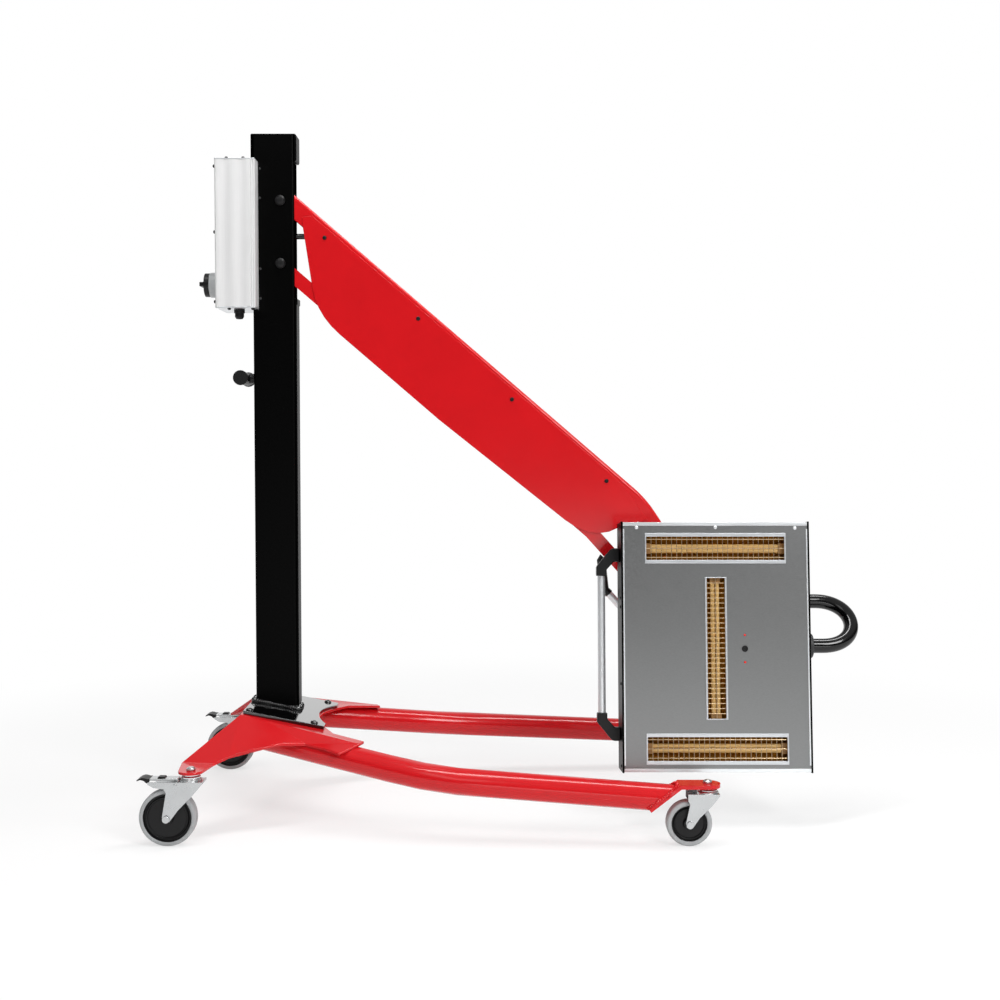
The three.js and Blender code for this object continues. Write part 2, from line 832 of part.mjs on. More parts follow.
// Pivot bolts with domed heads on both sides of the pillar
function pivotBolt() {
  const face = pillar.halfY + seat;
  const head = arm.boltHead;
  const tall = arm.boltHeadHeight;
  const dome = [];
  for (let i = 0; i <= 2; i += 1) {
    const swing = (i / 2) * 90 * degree;
    dome.push([head * Math.cos(swing), face + tall * (1 + 2 * Math.sin(swing)) / 3]);
  }
  const upper = [[arm.boltRadius, face], [head, face], ...dome.slice(0, -1), [0, face + tall]];
  const lower = upper.map(([r, h]) => [r, -h]).reverse();
  return turned([...lower, ...upper], 'y');
}
for (const [name, drop] of [['pivot_bolt_upper', 0], ['pivot_bolt_lower', arm.spacing]]) {
  const bolt = piece(name, pivotBolt(), finish.plastic);
  bolt.position.set(arm.pivotX, 0, pivotZ - drop);
  stand.add(bolt);
}

// Lamp cable, first stretch: from the control board through the pillar to the mouth of its slot
const innerCable = roundBar(cable.radius, [boardX + seat, pillar.halfX + cable.mouth], 'x', cable.sides);
stand.add(piece('lamp_cable_pillar', at(innerCable, 0, 0, cableZ), finish.gloss));

// Arm group: its own frame has u along X and v along Z
const upperGroup = new THREE.Group();
upperGroup.position.set(arm.pivotX, 0, pivotZ);
upperGroup.rotation.y = arm.angle;
stand.add(upperGroup);
const lowerGroup = new THREE.Group();
lowerGroup.position.set(arm.pivotX, 0, pivotZ - arm.spacing);
lowerGroup.rotation.y = arm.angle;
stand.add(lowerGroup);

const halfArm = arm.width / 2;
const halfChannel = halfArm - arm.wall;
function pivotHole(u, v) {
  const reach = halfArm + overrun;
  return at(roundBar(arm.boltRadius + arm.boltClear, [-reach, reach], 'y'), u, 0, v);
}

// Side outline of the upper bar; inset lowers its top, open drops its bottom and lengthens its ends
function upperOutline(inset, open) {
  const { top, depth, rear, bendU, bendRadius, bendAngle, beyond } = upperBar;
  const centreV = top - bendRadius;
  const along = [Math.cos(bendAngle), -Math.sin(bendAngle)];
  const square = [Math.sin(bendAngle), Math.cos(bendAngle)];
  const bendEnd = [bendU + bendRadius * square[0], centreV + bendRadius * square[1]];
  const run = (arm.farU - bendEnd[0]) * along[0] + (arm.farV - bendEnd[1]) * along[1] + beyond + open;
  const topPoints = [[-rear - open, top - inset]];
  const bottomPoints = [[-rear - open, top - depth - open]];
  for (let i = 0; i <= 5; i += 1) {
    const swing = (bendAngle * i) / 5;
    const direction = [Math.sin(swing), Math.cos(swing)];
    const outer = bendRadius - inset;
    const inner = bendRadius - depth - open;
    topPoints.push([bendU + outer * direction[0], centreV + outer * direction[1]]);
    bottomPoints.push([bendU + inner * direction[0], centreV + inner * direction[1]]);
  }
  const topEnd = topPoints[topPoints.length - 1];
  const bottomEnd = bottomPoints[bottomPoints.length - 1];
  topPoints.push([topEnd[0] + run * along[0], topEnd[1] + run * along[1]]);
  bottomPoints.push([bottomEnd[0] + run * along[0], bottomEnd[1] + run * along[1]]);
  return outline([...bottomPoints, ...topPoints.reverse()]);
}

function upperArm() {
  const outer = prismY(upperOutline(0, 0), [-halfArm, halfArm]);
  const inner = prismY(upperOutline(arm.wall, arm.width), [-halfChannel, halfChannel]);
  const across = [-halfChannel - arm.wall / 2, halfChannel + arm.wall / 2];
  const springPin = at(roundBar(spring.eyePin, across, 'y', 16), spring.upperU, 0, spring.upperV);
  const stopBand = [upperBar.top - upperBar.depth, upperBar.top - arm.wall / 2];
  const cableStop = block([cable.stopU, cable.stopU + cable.stopSheet], across, stopBand);
  const channel = cut(outer, inner, pivotHole(0, 0), pivotHole(arm.farU, arm.farV));
  return join(channel, springPin, cableStop);
}
upperGroup.add(piece('upper_arm', upperArm(), finish.red));

function armPanel() {
  const shape = new THREE.Shape();
  shape.moveTo(...panel.rearTop);
  shape.lineTo(...panel.rearNotch);
  shape.lineTo(...panel.rearEdge);
  shape.lineTo(...panel.heel);
  shape.quadraticCurveTo(...panel.heelControl, ...panel.bottomRear);
  shape.lineTo(...panel.bottomMiddle);
  shape.lineTo(...panel.bottomFront);
  shape.quadraticCurveTo(...panel.toeControl, ...panel.toe);
  shape.lineTo(...panel.nose);
  shape.lineTo(...panel.frontTop);
  shape.lineTo(panel.frontTop[0] - panel.top, panel.top);
  return shape;
}
const panelInner = halfArm + seat;
const nearBand = [-panelInner - panel.sheet, -panelInner];
const farBand = [panelInner, panelInner + panel.sheet];
upperGroup.add(piece('arm_panel_near', prismY(armPanel(), nearBand), finish.red));
upperGroup.add(piece('arm_panel_far', prismY(armPanel(), farBand), finish.red));

function lowerOutline(inset, open) {
  const { top, bottom, rear, bendU, bendAngle, beyond } = lowerBar;
  const along = [Math.cos(bendAngle), -Math.sin(bendAngle)];
  const run = (arm.farU - bendU) * along[0] + (arm.farV - top) * along[1] + beyond + open;
  const square = [Math.sin(bendAngle), Math.cos(bendAngle)];
  const end = [bendU + run * along[0], top + run * along[1]];
  const half = Math.tan(bendAngle / 2);
  const low = bottom + inset;
  const high = top + open;
  const lowTurn = bendU - (top - low) * half;
  const highTurn = bendU + open * half;
  return outline([
    [-rear - open, low],
    [lowTurn, low],
    [end[0] - (top - low) * square[0], end[1] - (top - low) * square[1]],
    [end[0] + open * square[0], end[1] + open * square[1]],
    [highTurn, high],
    [-rear - open, high],
  ]);
}

function lowerArm() {
  const eye = at(roundBar(lowerBar.eye, [-halfArm, halfArm], 'y'), arm.farU, 0, arm.farV);
  const outer = join(prismY(lowerOutline(0, 0), [-halfArm, halfArm]), eye);
  const inner = prismY(lowerOutline(arm.wall, arm.width), [-halfChannel, halfChannel]);
  const channel = cut(outer, inner, pivotHole(0, 0), pivotHole(arm.farU, arm.farV));
  const ears = [-1, 1].map((side) => {
    const inner = spring.earHalf - spring.earSheet;
    const y = side > 0 ? [inner, spring.earHalf] : [-spring.earHalf, -inner];
    const reach = spring.eye * spring.earShare;
    const u = [spring.lowerU - reach, spring.lowerU + reach];
    return block(u, y, [lowerBar.bottom + arm.wall / 2, spring.earTop]);
  });
  return join(channel, ...ears);
}
lowerGroup.add(piece('lower_arm', lowerArm(), finish.red));

// Handle under the lower bar's bent end: two black elbows with a bright tube between them
const underBar = (u) => lowerBar.bottom - (u - lowerBar.bendU) * Math.tan(lowerBar.bendAngle);
function underHandle() {
  const { rearU, frontU, run, drop, elbow, tube, sides, steps } = armHandle;
  const fall = Math.sin(lowerBar.bendAngle);
  const level = (u) => underBar(u) - drop;
  const rearTurn = [rearU + run, 0, level(rearU + run)];
  const frontTurn = [frontU - run, 0, level(frontU - run)];
  const foot = (u) => [u, 0, underBar(u) - seat * 2 - elbow * fall];
  const neck = (u) => [u, 0, underBar(u) - elbow];
  const inset = elbow * armHandle.insetShare;
  const rearStop = rearTurn[0] + inset;
  const frontStop = frontTurn[0] - inset;
  const rearCorners = [foot(rearU), neck(rearU), rearTurn, [rearStop, 0, level(rearStop)]];
  const frontCorners = [foot(frontU), neck(frontU), frontTurn, [frontStop, 0, level(frontStop)]];
  const rearPath = roundedPath(rearCorners, elbow / 2);
  const frontPath = roundedPath(frontCorners, elbow / 2);
  const tubePath = new THREE.LineCurve3(new THREE.Vector3(...rearTurn), new THREE.Vector3(...frontTurn));
  return join(
    pipe(rearPath, elbow, sides, steps),
    pipe(frontPath, elbow, sides, steps),
    pipe(tubePath, tube, sides, 1),
  );
}
lowerGroup.add(piece('arm_handle', underHandle(), finish.aluminium));

// Gas spring: tube on the upper bar's cross pin, rod down to the ears of the lower bar
const lowerEnd = [
  spring.lowerU + arm.spacing * Math.sin(arm.angle),
  spring.lowerV - arm.spacing * Math.cos(arm.angle),
];
const springAngle = Math.atan2(spring.upperV - lowerEnd[1], spring.upperU - lowerEnd[0]);
const springLength = Math.hypot(spring.upperU - lowerEnd[0], spring.upperV - lowerEnd[1]);
const springGroup = new THREE.Group();
springGroup.position.set(spring.upperU, 0, spring.upperV);
springGroup.rotation.y = -springAngle;
upperGroup.add(springGroup);

function springTube() {
  const end = spring.tubeStart + spring.tubeLength;
  const barrel = roundBar(spring.tube, [-end, -spring.tubeStart], 'x', 20);
  const bore = roundBar(spring.rod + seat, [-end - overrun, seat - spring.rodStart + overrun], 'x', 12);
  const eye = roundBar(spring.eye, [-spring.eyeWidth / 2, spring.eyeWidth / 2], 'y', 20);
  const acrossEye = [-spring.eyeWidth / 2, spring.eyeWidth / 2];
  const neck = block([-spring.tubeStart - overrun, 0], acrossEye, [-spring.eye / 2, spring.eye / 2]);
  const hole = roundBar(spring.eyePin + seat, [-spring.eyeWidth, spring.eyeWidth], 'y', 16);
  return cut(join(barrel, eye, neck), bore, hole);
}
function springRod() {
  const rod = roundBar(spring.rod, [-springLength, -spring.rodStart], 'x', 12);
  const acrossEars = [-spring.barrelWidth / 2, spring.barrelWidth / 2];
  const barrel = at(roundBar(spring.barrel, acrossEars, 'y', 20), -springLength, 0, 0);
  return join(rod, barrel);
}
springGroup.add(piece('gas_spring_tube', springTube(), finish.black));
springGroup.add(piece('gas_spring_rod', springRod(), finish.zinc));

// Lamp cable, second stretch: from the pillar's mouth, level at first, then up into the upper bar
function armCable() {
  const cos = Math.cos(arm.angle);
  const sin = Math.sin(arm.angle);
  const startX = pillar.halfX + cable.mouth + seat - arm.pivotX;
  const startZ = cableZ - pivotZ;
  const start = [startX * cos - startZ * sin, startX * sin + startZ * cos];
  const rise = cable.runV - start[1];
  const reach = cable.bend * Math.tan(arm.angle / 2);
  const corner = [start[0] + (rise / sin) * cos, 0, cable.runV];
  const bendEnd = [corner[0] + reach * 2, 0, cable.runV];
  const rising = roundedPath([[start[0], 0, start[1]], corner, bendEnd], reach);
  const level = new THREE.LineCurve3(
    new THREE.Vector3(bendEnd[0] - cable.radius, 0, cable.runV),
    new THREE.Vector3(cable.stopU - seat, 0, cable.runV),
  );
  const risingRun = pipe(rising, cable.radius, cable.sides, cable.steps);
  return join(risingRun, pipe(level, cable.radius, cable.sides, 1));
}
upperGroup.add(piece('lamp_cable_arm', armCable(), finish.gloss));

// Head link between the far pivots, with the boss for the upright spindle
const farX = arm.pivotX + arm.farU * Math.cos(arm.angle) + arm.farV * Math.sin(arm.angle);
const farZ = pivotZ - arm.farU * Math.sin(arm.angle) + arm.farV * Math.cos(arm.angle);
const spindleX = farX + link.reach;
const tiltZ = farZ - tilt.drop;
const bossTop = -link.bossTopDrop;
const bossBottom = bossTop - link.bossHeight;
const neckTop = -link.neckTopDrop;
const linkGroup = new THREE.Group();
linkGroup.position.set(farX, 0, farZ);
stand.add(linkGroup);

function linkPin() {
  const reach = halfArm + seat + arm.boltRadius;
  const inner = halfArm + seat;
  const head = arm.boltRadius + arm.wall + overrun - arm.wall / 2;
  const upper = [[arm.boltRadius, inner], [head, inner], [head, reach], [0, reach]];
  const lower = upper.map(([r, h]) => [r, -h]).reverse();
  return turned([...lower, ...upper], 'y');
}
function headLink() {
  const band = [-link.half, link.half];
  const bossX = link.reach;
  const low = -arm.spacing;
  const boss = at(roundBar(link.boss, [bossBottom, bossTop], 'z'), bossX, 0, 0);
  const halfNeck = link.half - arm.wall / 2;
  const neck = block([0, bossX], [-halfNeck, halfNeck], [neckTop - link.neckHeight, neckTop]);
  const boreBand = [bossBottom - overrun, bossTop + overrun];
  const bore = at(roundBar(spindle.radius + spindle.clear, boreBand, 'z'), bossX, 0, 0);
  const body = join(
    block([-link.bar, link.bar], band, [low, 0]),
    roundBar(link.eye, band, 'y'),
    at(roundBar(link.eye, band, 'y'), 0, 0, low),
    neck,
    boss,
    linkPin(),
    at(linkPin(), 0, 0, low),
  );
  return cut(body, bore);
}
linkGroup.add(piece('head_link', headLink(), finish.black));

// Swivel spindle with the tilt pin through its knuckle
const swivelGroup = new THREE.Group();
swivelGroup.position.set(spindleX, 0, tiltZ);
stand.add(swivelGroup);
function swivelSpindle() {
  const bossLow = bossBottom + tilt.drop - seat;
  const capLow = bossTop + tilt.drop + seat;
  const collarLow = tilt.drop - spindle.collarDrop;
  const shaft = turned([
    [0, 0],
    [spindle.radius, 0],
    [spindle.radius, collarLow],
    [spindle.collar, collarLow],
    [spindle.collar, bossLow],
    [spindle.radius, bossLow],
    [spindle.radius, capLow],
    [spindle.cap, capLow],
    [spindle.cap, capLow + spindle.capHeight],
    [0, capLow + spindle.capHeight],
  ], 'z');
  const knuckle = roundBar(tilt.knuckle, [-tilt.halfKnuckle, tilt.halfKnuckle], 'x');
  const outside = tilt.halfKnuckle + tilt.ear + 2 * seat;
  const headEnd = outside + tilt.pinHeadLength;
  const pin = turned([
    [0, -headEnd],
    [tilt.pinHead, -headEnd],
    [tilt.pinHead, -outside],
    [tilt.pin, -outside],
    [tilt.pin, outside],
    [tilt.pinHead, outside],
    [tilt.pinHead, headEnd],
    [0, headEnd],
  ], 'x');
  return join(shaft, knuckle, pin);
}
swivelGroup.add(piece('swivel_spindle', swivelSpindle(), finish.zinc));

// Cassette group: leans back a little, as in use
const cassetteY = -cassette.depth - cassette.behind;
const cassetteZ = farZ - cassette.drop;
const head = new THREE.Group();
head.position.set(spindleX, cassetteY, cassetteZ);
head.rotation.x = -cassette.lean;
stand.add(head);

const pinY = -cassetteY * Math.cos(cassette.lean) - (tiltZ - cassetteZ) * Math.sin(cassette.lean);
const pinZ = -cassetteY * Math.sin(cassette.lean) + (tiltZ - cassetteZ) * Math.cos(cassette.lean);
function tiltBracket() {
  const face = cassette.depth + seat;
  const discBack = face + turn.discDepth;
  const disc = roundBar(turn.disc, [face, discBack], 'y', 32);
  const studEnd = cassette.depth - cassette.casing - seat;
  const stud = roundBar(turn.stud, [studEnd - overrun, face + overrun], 'y');
  const flange = roundBar(turn.flange, [studEnd - turn.flangeDepth, studEnd], 'y');
  const earShape = new THREE.Shape();
  earShape.moveTo(discBack - overrun / 2, -turn.earRoot);
  earShape.lineTo(pinY, pinZ - tilt.earRound);
  earShape.absarc(pinY, pinZ, tilt.earRound, -90 * degree, 90 * degree);
  earShape.lineTo(discBack - overrun / 2, turn.earRoot);
  const inner = tilt.halfKnuckle + seat;
  const ears = [[-inner - tilt.ear, -inner], [inner, inner + tilt.ear]].map((band) => prismX(earShape, band));
  const reach = inner + tilt.ear + overrun;
  const hole = at(roundBar(tilt.pin + seat, [-reach, reach], 'x'), 0, pinY, pinZ);
  return cut(join(disc, stud, flange, ...ears), hole);
}
head.add(piece('tilt_bracket', tiltBracket(), finish.black));

// Cassette casing: back, top and bottom in one folded sheet with narrow front lips
const innerWidth = cassette.halfWidth - cassette.side - seat;
function cassetteCasing() {
  const { halfHeight, depth, casing, lip, lipSheet } = cassette;
  const room = halfHeight - casing;
  const shape = outline([
    [0, -halfHeight],
    [depth, -halfHeight],
    [depth, halfHeight],
    [0, halfHeight],
    [0, halfHeight - lip],
    [lipSheet, halfHeight - lip],
    [lipSheet, room],
    [depth - casing, room],
    [depth - casing, -room],
    [lipSheet, -room],
    [lipSheet, lip - halfHeight],
    [0, lip - halfHeight],
  ]);
  const shell = prismX(shape, [-innerWidth, innerWidth]);
  const studHole = roundBar(turn.stud + seat, [depth - casing - overrun, depth + overrun], 'y');
  const entry = block(
    [hose.entryX - hose.entryLength, hose.entryX],
    [depth - casing / 2, depth + hose.entryDepth],
    [hose.highZ - hose.entryHalfZ, hose.highZ + hose.entryHalfZ],
  );
  return cut(join(shell, entry), studHole);
}
head.add(piece('cassette_casing', cassetteCasing(), finish.aluminium));

function cassetteSide(side) {
  const inner = cassette.halfWidth - cassette.side;
  const x = side > 0 ? [inner, cassette.halfWidth] : [-cassette.halfWidth, -inner];
  const z = cassette.halfHeight + cassette.sideProud;
  return block(x, [-cassette.sideProud / 2, cassette.depth + cassette.sideProud / 2], [-z, z]);
}
head.add(piece('cassette_side_left', cassetteSide(-1), finish.plastic));
head.add(piece('cassette_side_right', cassetteSide(1), finish.plastic));

// The three lamp windows: two lying ones, above and below a standing one
const windows = [
  { name: 'top', lying: true, z: patternZ + longWindow.offset, size: longWindow },
  { name: 'middle', lying: false, z: patternZ, size: tallWindow },
  { name: 'bottom', lying: true, z: patternZ - longWindow.offset, size: longWindow },
];
function windowRectangle({ lying, z, size }, growLong, growShort) {
  const long = size.halfLength + growLong;
  const short = size.halfWidth + growShort;
  const [halfX, halfZ] = lying ? [long, short] : [short, long];
  return [[-halfX, halfX], [z - halfZ, z + halfZ]];
}

function cassetteFront() {
  const y = [cassette.frontInset, cassette.frontInset + cassette.front];
  const halfZ = cassette.halfHeight - cassette.lip - seat;
  const plate = block([-innerWidth, innerWidth], y, [-halfZ, halfZ]);
  const frames = windows.map((window) => {
    const [x, z] = windowRectangle(window, window.size.frameShort, window.size.frameLong);
    return block(x, [cassette.frontInset - windowFrame.proud - cassette.front / 2, y[1]], z);
  });
  const holes = windows.map((window) => {
    const [x, z] = windowRectangle(window, 0, 0);
    return block(x, [-overrun, y[1] + overrun], z);
  });
  const through = [-overrun, y[1] + overrun];
  const lensHole = at(roundBar(sensor.lens + seat, through, 'y'), sensor.x, 0, sensor.z);
  const spots = [-1, 1].map((side) => at(
    roundBar(sensor.spot + seat, through, 'y', 12),
    sensor.x,
    0,
    sensor.z + side * sensor.spotPitch,
  ));
  return cut(join(plate, ...frames), ...holes, lensHole, ...spots);
}
head.add(piece('cassette_front', cassetteFront(), finish.brushed));

// Grilles: wires across each window, held between the front and the tray
const grilleY = cassette.frontInset + cassette.front + seat;
function grilleNet({ lying, z, size }) {
  const long = size.halfLength + grille.overlap;
  const short = size.halfWidth + grille.overlap;
  const count = Math.round((2 * long) / grille.pitch);
  const pitch = (2 * long - grille.wire) / count;
  const opening = short - 1.5 * grille.wire;
  const through = [-overrun, overrun];
  const gaps = [];
  for (let i = 0; i < count; i += 1) {
    const left = grille.wire + i * pitch - long;
    for (const low of [grille.wire - short, grille.wire / 2]) {
      gaps.push(block([left, left + pitch - grille.wire], through, [low, low + opening]));
    }
  }
  const net = cut(block([-long, long], [0, grille.sheet], [-short, short]), ...gaps);
  if (!lying) net.rotateY(90 * degree);
  return at(net, 0, grilleY, z);
}
for (const window of windows) head.add(piece(`grille_${window.name}`, grilleNet(window), finish.zinc));

// Reflector tray: one sheet with three gold troughs
const trayY = grilleY + grille.sheet + seat;
const troughFor = ({ lying, z, size }, grow, depthGrow) => {
  const radius = size.halfWidth + grille.overlap + grow;
  const half = size.halfLength + grille.overlap + grow;
  const along = lying ? 'x' : 'z';
  return at(roundBar(radius, [-half, half], along, tray.sides * 2), 0, trayY + depthGrow, z);
};
function reflectorTray() {
  const z = cassette.halfHeight - cassette.casing - seat;
  const sheet = block([-innerWidth, innerWidth], [trayY, trayY + tray.sheet], [-z, z]);
  const front = block([-innerWidth, innerWidth], [trayY - cassette.depth, trayY], [-z, z]);
  const outers = windows.map((window) => cut(troughFor(window, tray.troughWall, 0), front));
  const inners = windows.map((window) => troughFor(window, 0, 0));
  const pocket = block(
    [sensor.x - sensor.halfX - sensor.margin, sensor.x + sensor.halfX + sensor.margin],
    [trayY - overrun, trayY + overrun],
    [sensor.z - sensor.halfZ - sensor.margin, sensor.z + sensor.halfZ + sensor.margin],
  );
  return cut(join(sheet, ...outers), ...inners, pocket);
}
head.add(piece('reflector_tray', reflectorTray(), finish.gold));

function lampTube({ lying, z, size }) {
  const half = size.halfLength + grille.overlap - seat;
  const along = lying ? 'x' : 'z';
  const tube = turned([
    [0, -half],
    [lamp.cap, -half],
    [lamp.cap, lamp.capLength - half],
    [lamp.tube, lamp.capLength - half],
    [lamp.tube, half - lamp.capLength],
    [lamp.cap, half - lamp.capLength],
    [lamp.cap, half],
    [0, half],
  ], along, 16);
  const deep = trayY + lamp.cap + (size.halfWidth - lamp.cap) * lamp.depthShare;
  return at(tube, 0, deep, z);
}
for (const window of windows) head.add(piece(`lamp_${window.name}`, lampTube(window), finish.glass));

function distanceSensor() {
  const body = block(
    [sensor.x - sensor.halfX, sensor.x + sensor.halfX],
    [grilleY, grilleY + sensor.depth],
    [sensor.z - sensor.halfZ, sensor.z + sensor.halfZ],
  );
  const lensBand = [cassette.frontInset / 2, grilleY + overrun];
  const lens = at(roundBar(sensor.lens, lensBand, 'y'), sensor.x, 0, sensor.z);
  const spots = [-1, 1].map((side) => at(
    roundBar(sensor.spot, [cassette.frontInset, grilleY + overrun], 'y', 12),
    sensor.x,
    0,
    sensor.z + side * sensor.spotPitch,
  ));
  return join(body, lens, ...spots);
}
head.add(piece('distance_sensor', distanceSensor(), finish.plastic));

// Side handle: bright tube between two black elbows
const handleX = -cassette.halfWidth - sideHandle.out;
const handleHalf = sideHandle.halfLength + sideHandle.socket - seat;
const handleTube = roundBar(sideHandle.tube, [-handleHalf, handleHalf], 'z', 16);
head.add(piece('handle_tube', at(handleTube, handleX, sideHandle.y, 0), finish.aluminium));
function handleElbow(side) {
  const { y, halfLength, elbow, socket, reach, drop, sides, steps } = sideHandle;
  const wallX = -cassette.halfWidth - seat;
  const path = roundedPath([
    [handleX, y, side * halfLength],
    [handleX, y, side * (halfLength + socket + overrun)],
    [wallX - reach, y, side * (halfLength + drop)],
    [wallX, y, side * (halfLength + drop)],
  ], elbow / 3);
  const body = pipe(path, elbow, sides, steps * 2);
  const mouth = halfLength - overrun;
  const ends = side > 0 ? [mouth, halfLength + socket] : [-halfLength - socket, -mouth];
  return cut(body, at(roundBar(sideHandle.tube + seat, ends, 'z', 16), handleX, y, 0));
}
head.add(piece('handle_elbow_top', handleElbow(1), finish.plastic));
head.add(piece('handle_elbow_bottom', handleElbow(-1), finish.plastic));

// Cable hose: from the gland on the right side, round, and back into the entry box behind
const glandFace = cassette.halfWidth + seat;
const glandEnd = glandFace + hose.glandLength;
const hoseGland = turned([
  [0, glandFace],
  [hose.glandFlange, glandFace],
  [hose.glandFlange, glandFace + hose.glandLength / 2],
  [hose.glandCone, glandEnd],
  [0, glandEnd],
], 'x', 20);
head.add(piece('hose_gland', at(hoseGland, 0, hose.y, hose.lowZ), finish.plastic));
function cableHose() {
  const start = new THREE.Vector3(glandEnd + seat, hose.y, hose.lowZ);
  const out = new THREE.Vector3(start.x + hose.straight, hose.y, hose.lowZ);
  const back = new THREE.Vector3(start.x + hose.straight, hose.highY, hose.highZ);
  const end = new THREE.Vector3(hose.entryX + seat, hose.highY, hose.highZ);
  const path = new THREE.CurvePath();
  path.add(new THREE.LineCurve3(start, out));
  path.add(new THREE.CubicBezierCurve3(
    out,
    new THREE.Vector3(out.x + hose.bulge, out.y, out.z),
    new THREE.Vector3(back.x + hose.bulge, back.y, back.z),
    back,
  ));
  path.add(new THREE.LineCurve3(back, end));
  return pipe(path, hose.radius, hose.sides, hose.steps);
}
head.add(piece('cable_hose', cableHose(), finish.gloss));

// Casters
function wheelShape({ radius }) {
  const half = wheel.width / 2;
  const halfHub = wheel.hubWidth / 2;
  const rim = radius - wheel.tyre;
  const hubEdge = rim - wheel.hubRim;
  const bore = axle.radius + seat;
  const face = [
    [bore, halfHub],
    [wheel.boss, halfHub],
    [wheel.boss, half - wheel.dish],
    [hubEdge, half - wheel.dish],
    [hubEdge, half],
    [radius - wheel.bevel, half],
    [radius, half - wheel.bevel],
  ].reverse();
  const profile = [...face.map(([r, h]) => [r, -h]).reverse(), ...face];
  return turned([...profile, profile[0]], 'y', 28);
}

function forkShape(caster) {
  const { radius, trail, crown, under, brake } = caster;
  const drop = crown - radius;
  const tip = fork.tipRadius;
  const scaled = ([alongShare, dropShare]) => [alongShare * trail, dropShare * drop];
  const cheekPoints = [
    ...cheekFrontShares.map(scaled),
    [tip * forkShares.tip - trail, -tip * forkShares.tipDrop],
    [-trail, -tip],
    [-trail - tip * forkShares.tip, -tip * forkShares.tipDrop],
    [-trail - tip, tip * forkShares.tipRise],
    ...cheekRearShares.map(scaled),
    ...(brake ? brakeArmShares : plainArmShares).map(scaled),
  ];
  const shape = outline(cheekPoints.map(([x, z]) => [x, z + radius]));
  const inner = fork.gap;
  const outer = inner + fork.cheek;
  const cheeks = [[-outer, -inner], [inner, outer]].map((band) => prismY(shape, band));
  const plateRun = [forkShares.plateRear * trail, forkShares.front * trail];
  const plateHalf = inner + fork.cheek / 2;
  const plate = block(plateRun, [-plateHalf, plateHalf], [crown - fork.plate, crown]);
  const axleHole = at(roundBar(axle.radius + seat, [-inner * 2, inner * 2], 'y'), -trail, 0, radius);
  const barTop = under + (brake ? base.sheet : pad.bar);
  const headTop = barTop + seat;
  const pin = turned([
    [0, crown - fork.plate],
    [fork.head, crown - fork.plate],
    [fork.head, crown + fork.plate * forkShares.race],
    [fork.neck, under - seat],
    [fork.bolt, under - seat],
    [fork.bolt, headTop],
    [fork.nut, headTop],
    [fork.nut, headTop + fork.nutHeight * forkShares.nut],
    [fork.nut * forkShares.nut, headTop + fork.nutHeight],
    [0, headTop + fork.nutHeight],
  ], 'z');
  const holes = [axleHole];
  if (brake) {
    const pinHole = roundBar(pedal.pin + seat, [-inner * 2, inner * 2], 'y', 12);
    holes.push(at(pinHole, pedalShares.pin * trail, 0, crown - pedal.pinDrop));
  }
  return cut(join(...cheeks, plate, pin), ...holes);
}

function axleShape() {
  const face = fork.gap + fork.cheek + seat;
  const end = face + axle.headLength;
  return turned([
    [0, -end],
    [axle.head, -end],
    [axle.head, -face],
    [axle.radius, -face],
    [axle.radius, face],
    [axle.head, face],
    [axle.head, end],
    [0, end],
  ], 'y', 16);
}

// Brake pedal: a lever above the wheel with a raised black tip
function pedalShape({ trail }) {
  const low = pedal.pinDrop + seat;
  const high = low + pedal.thickness;
  const start = pedalShares.pin * trail;
  const reach = (share) => share * trail - start;
  const half = pedal.width / 2;
  const arm = block([reach(pedalShares.bend), pedal.lug], [-half, half], [low, high]);
  const lug = block([-pedal.lug, pedal.lug], [-half, half], [-pedal.lug, high]);
  const pinHalf = fork.gap + fork.cheek;
  const pin = roundBar(pedal.pin, [-pinHalf, pinHalf], 'y', 12);
  const tip = outline([
    [reach(pedalShares.bend) + pedal.lug, low],
    [reach(pedalShares.low), low - pedal.thickness],
    [reach(pedalShares.tip), low],
    [reach(pedalShares.end), high],
    [reach(pedalShares.rim), low + pedal.thickness * pedalShares.rimRise],
    [reach(pedalShares.bend) + pedal.lug, high],
  ]);
  return join(arm, lug, pin, prismY(tip, [-pedal.tipWidth / 2, pedal.tipWidth / 2]));
}

for (const [row, caster] of [['rear', rearCaster], ['front', frontCaster]]) {
  for (const [where, side] of [['near', -1], ['far', 1]]) {
    const swivel = new THREE.Group();
    swivel.position.set(caster.x, side * caster.y, 0);
    swivel.add(piece(`fork_${row}_${where}`, forkShape(caster), finish.zinc));
    const hub = new THREE.Group();
    hub.position.set(-caster.trail, 0, caster.radius);
    hub.add(piece(`wheel_${row}_${where}`, wheelShape(caster), finish.rubber));
    hub.add(piece(`axle_${row}_${where}`, axleShape(), finish.zinc));
    swivel.add(hub);
    if (caster.brake) {
      const brake = piece(`brake_pedal_${where}`, pedalShape(caster), finish.plastic);
      brake.position.set(pedalShares.pin * caster.trail, 0, caster.crown - pedal.pinDrop);
      swivel.add(brake);
    }
    stand.add(swivel);
  }
}

// The origin goes on the floor under the middle of the whole lamp
stand.updateMatrixWorld(true);
const extent = new THREE.Box3().setFromObject(stand);
stand.position.set(-(extent.min.x + extent.max.x) / 2, -(extent.min.y + extent.max.y) / 2, -extent.min.z);

export default stand;
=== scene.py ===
import json
import math

import bmesh
import bpy
from mathutils import Matrix, Vector


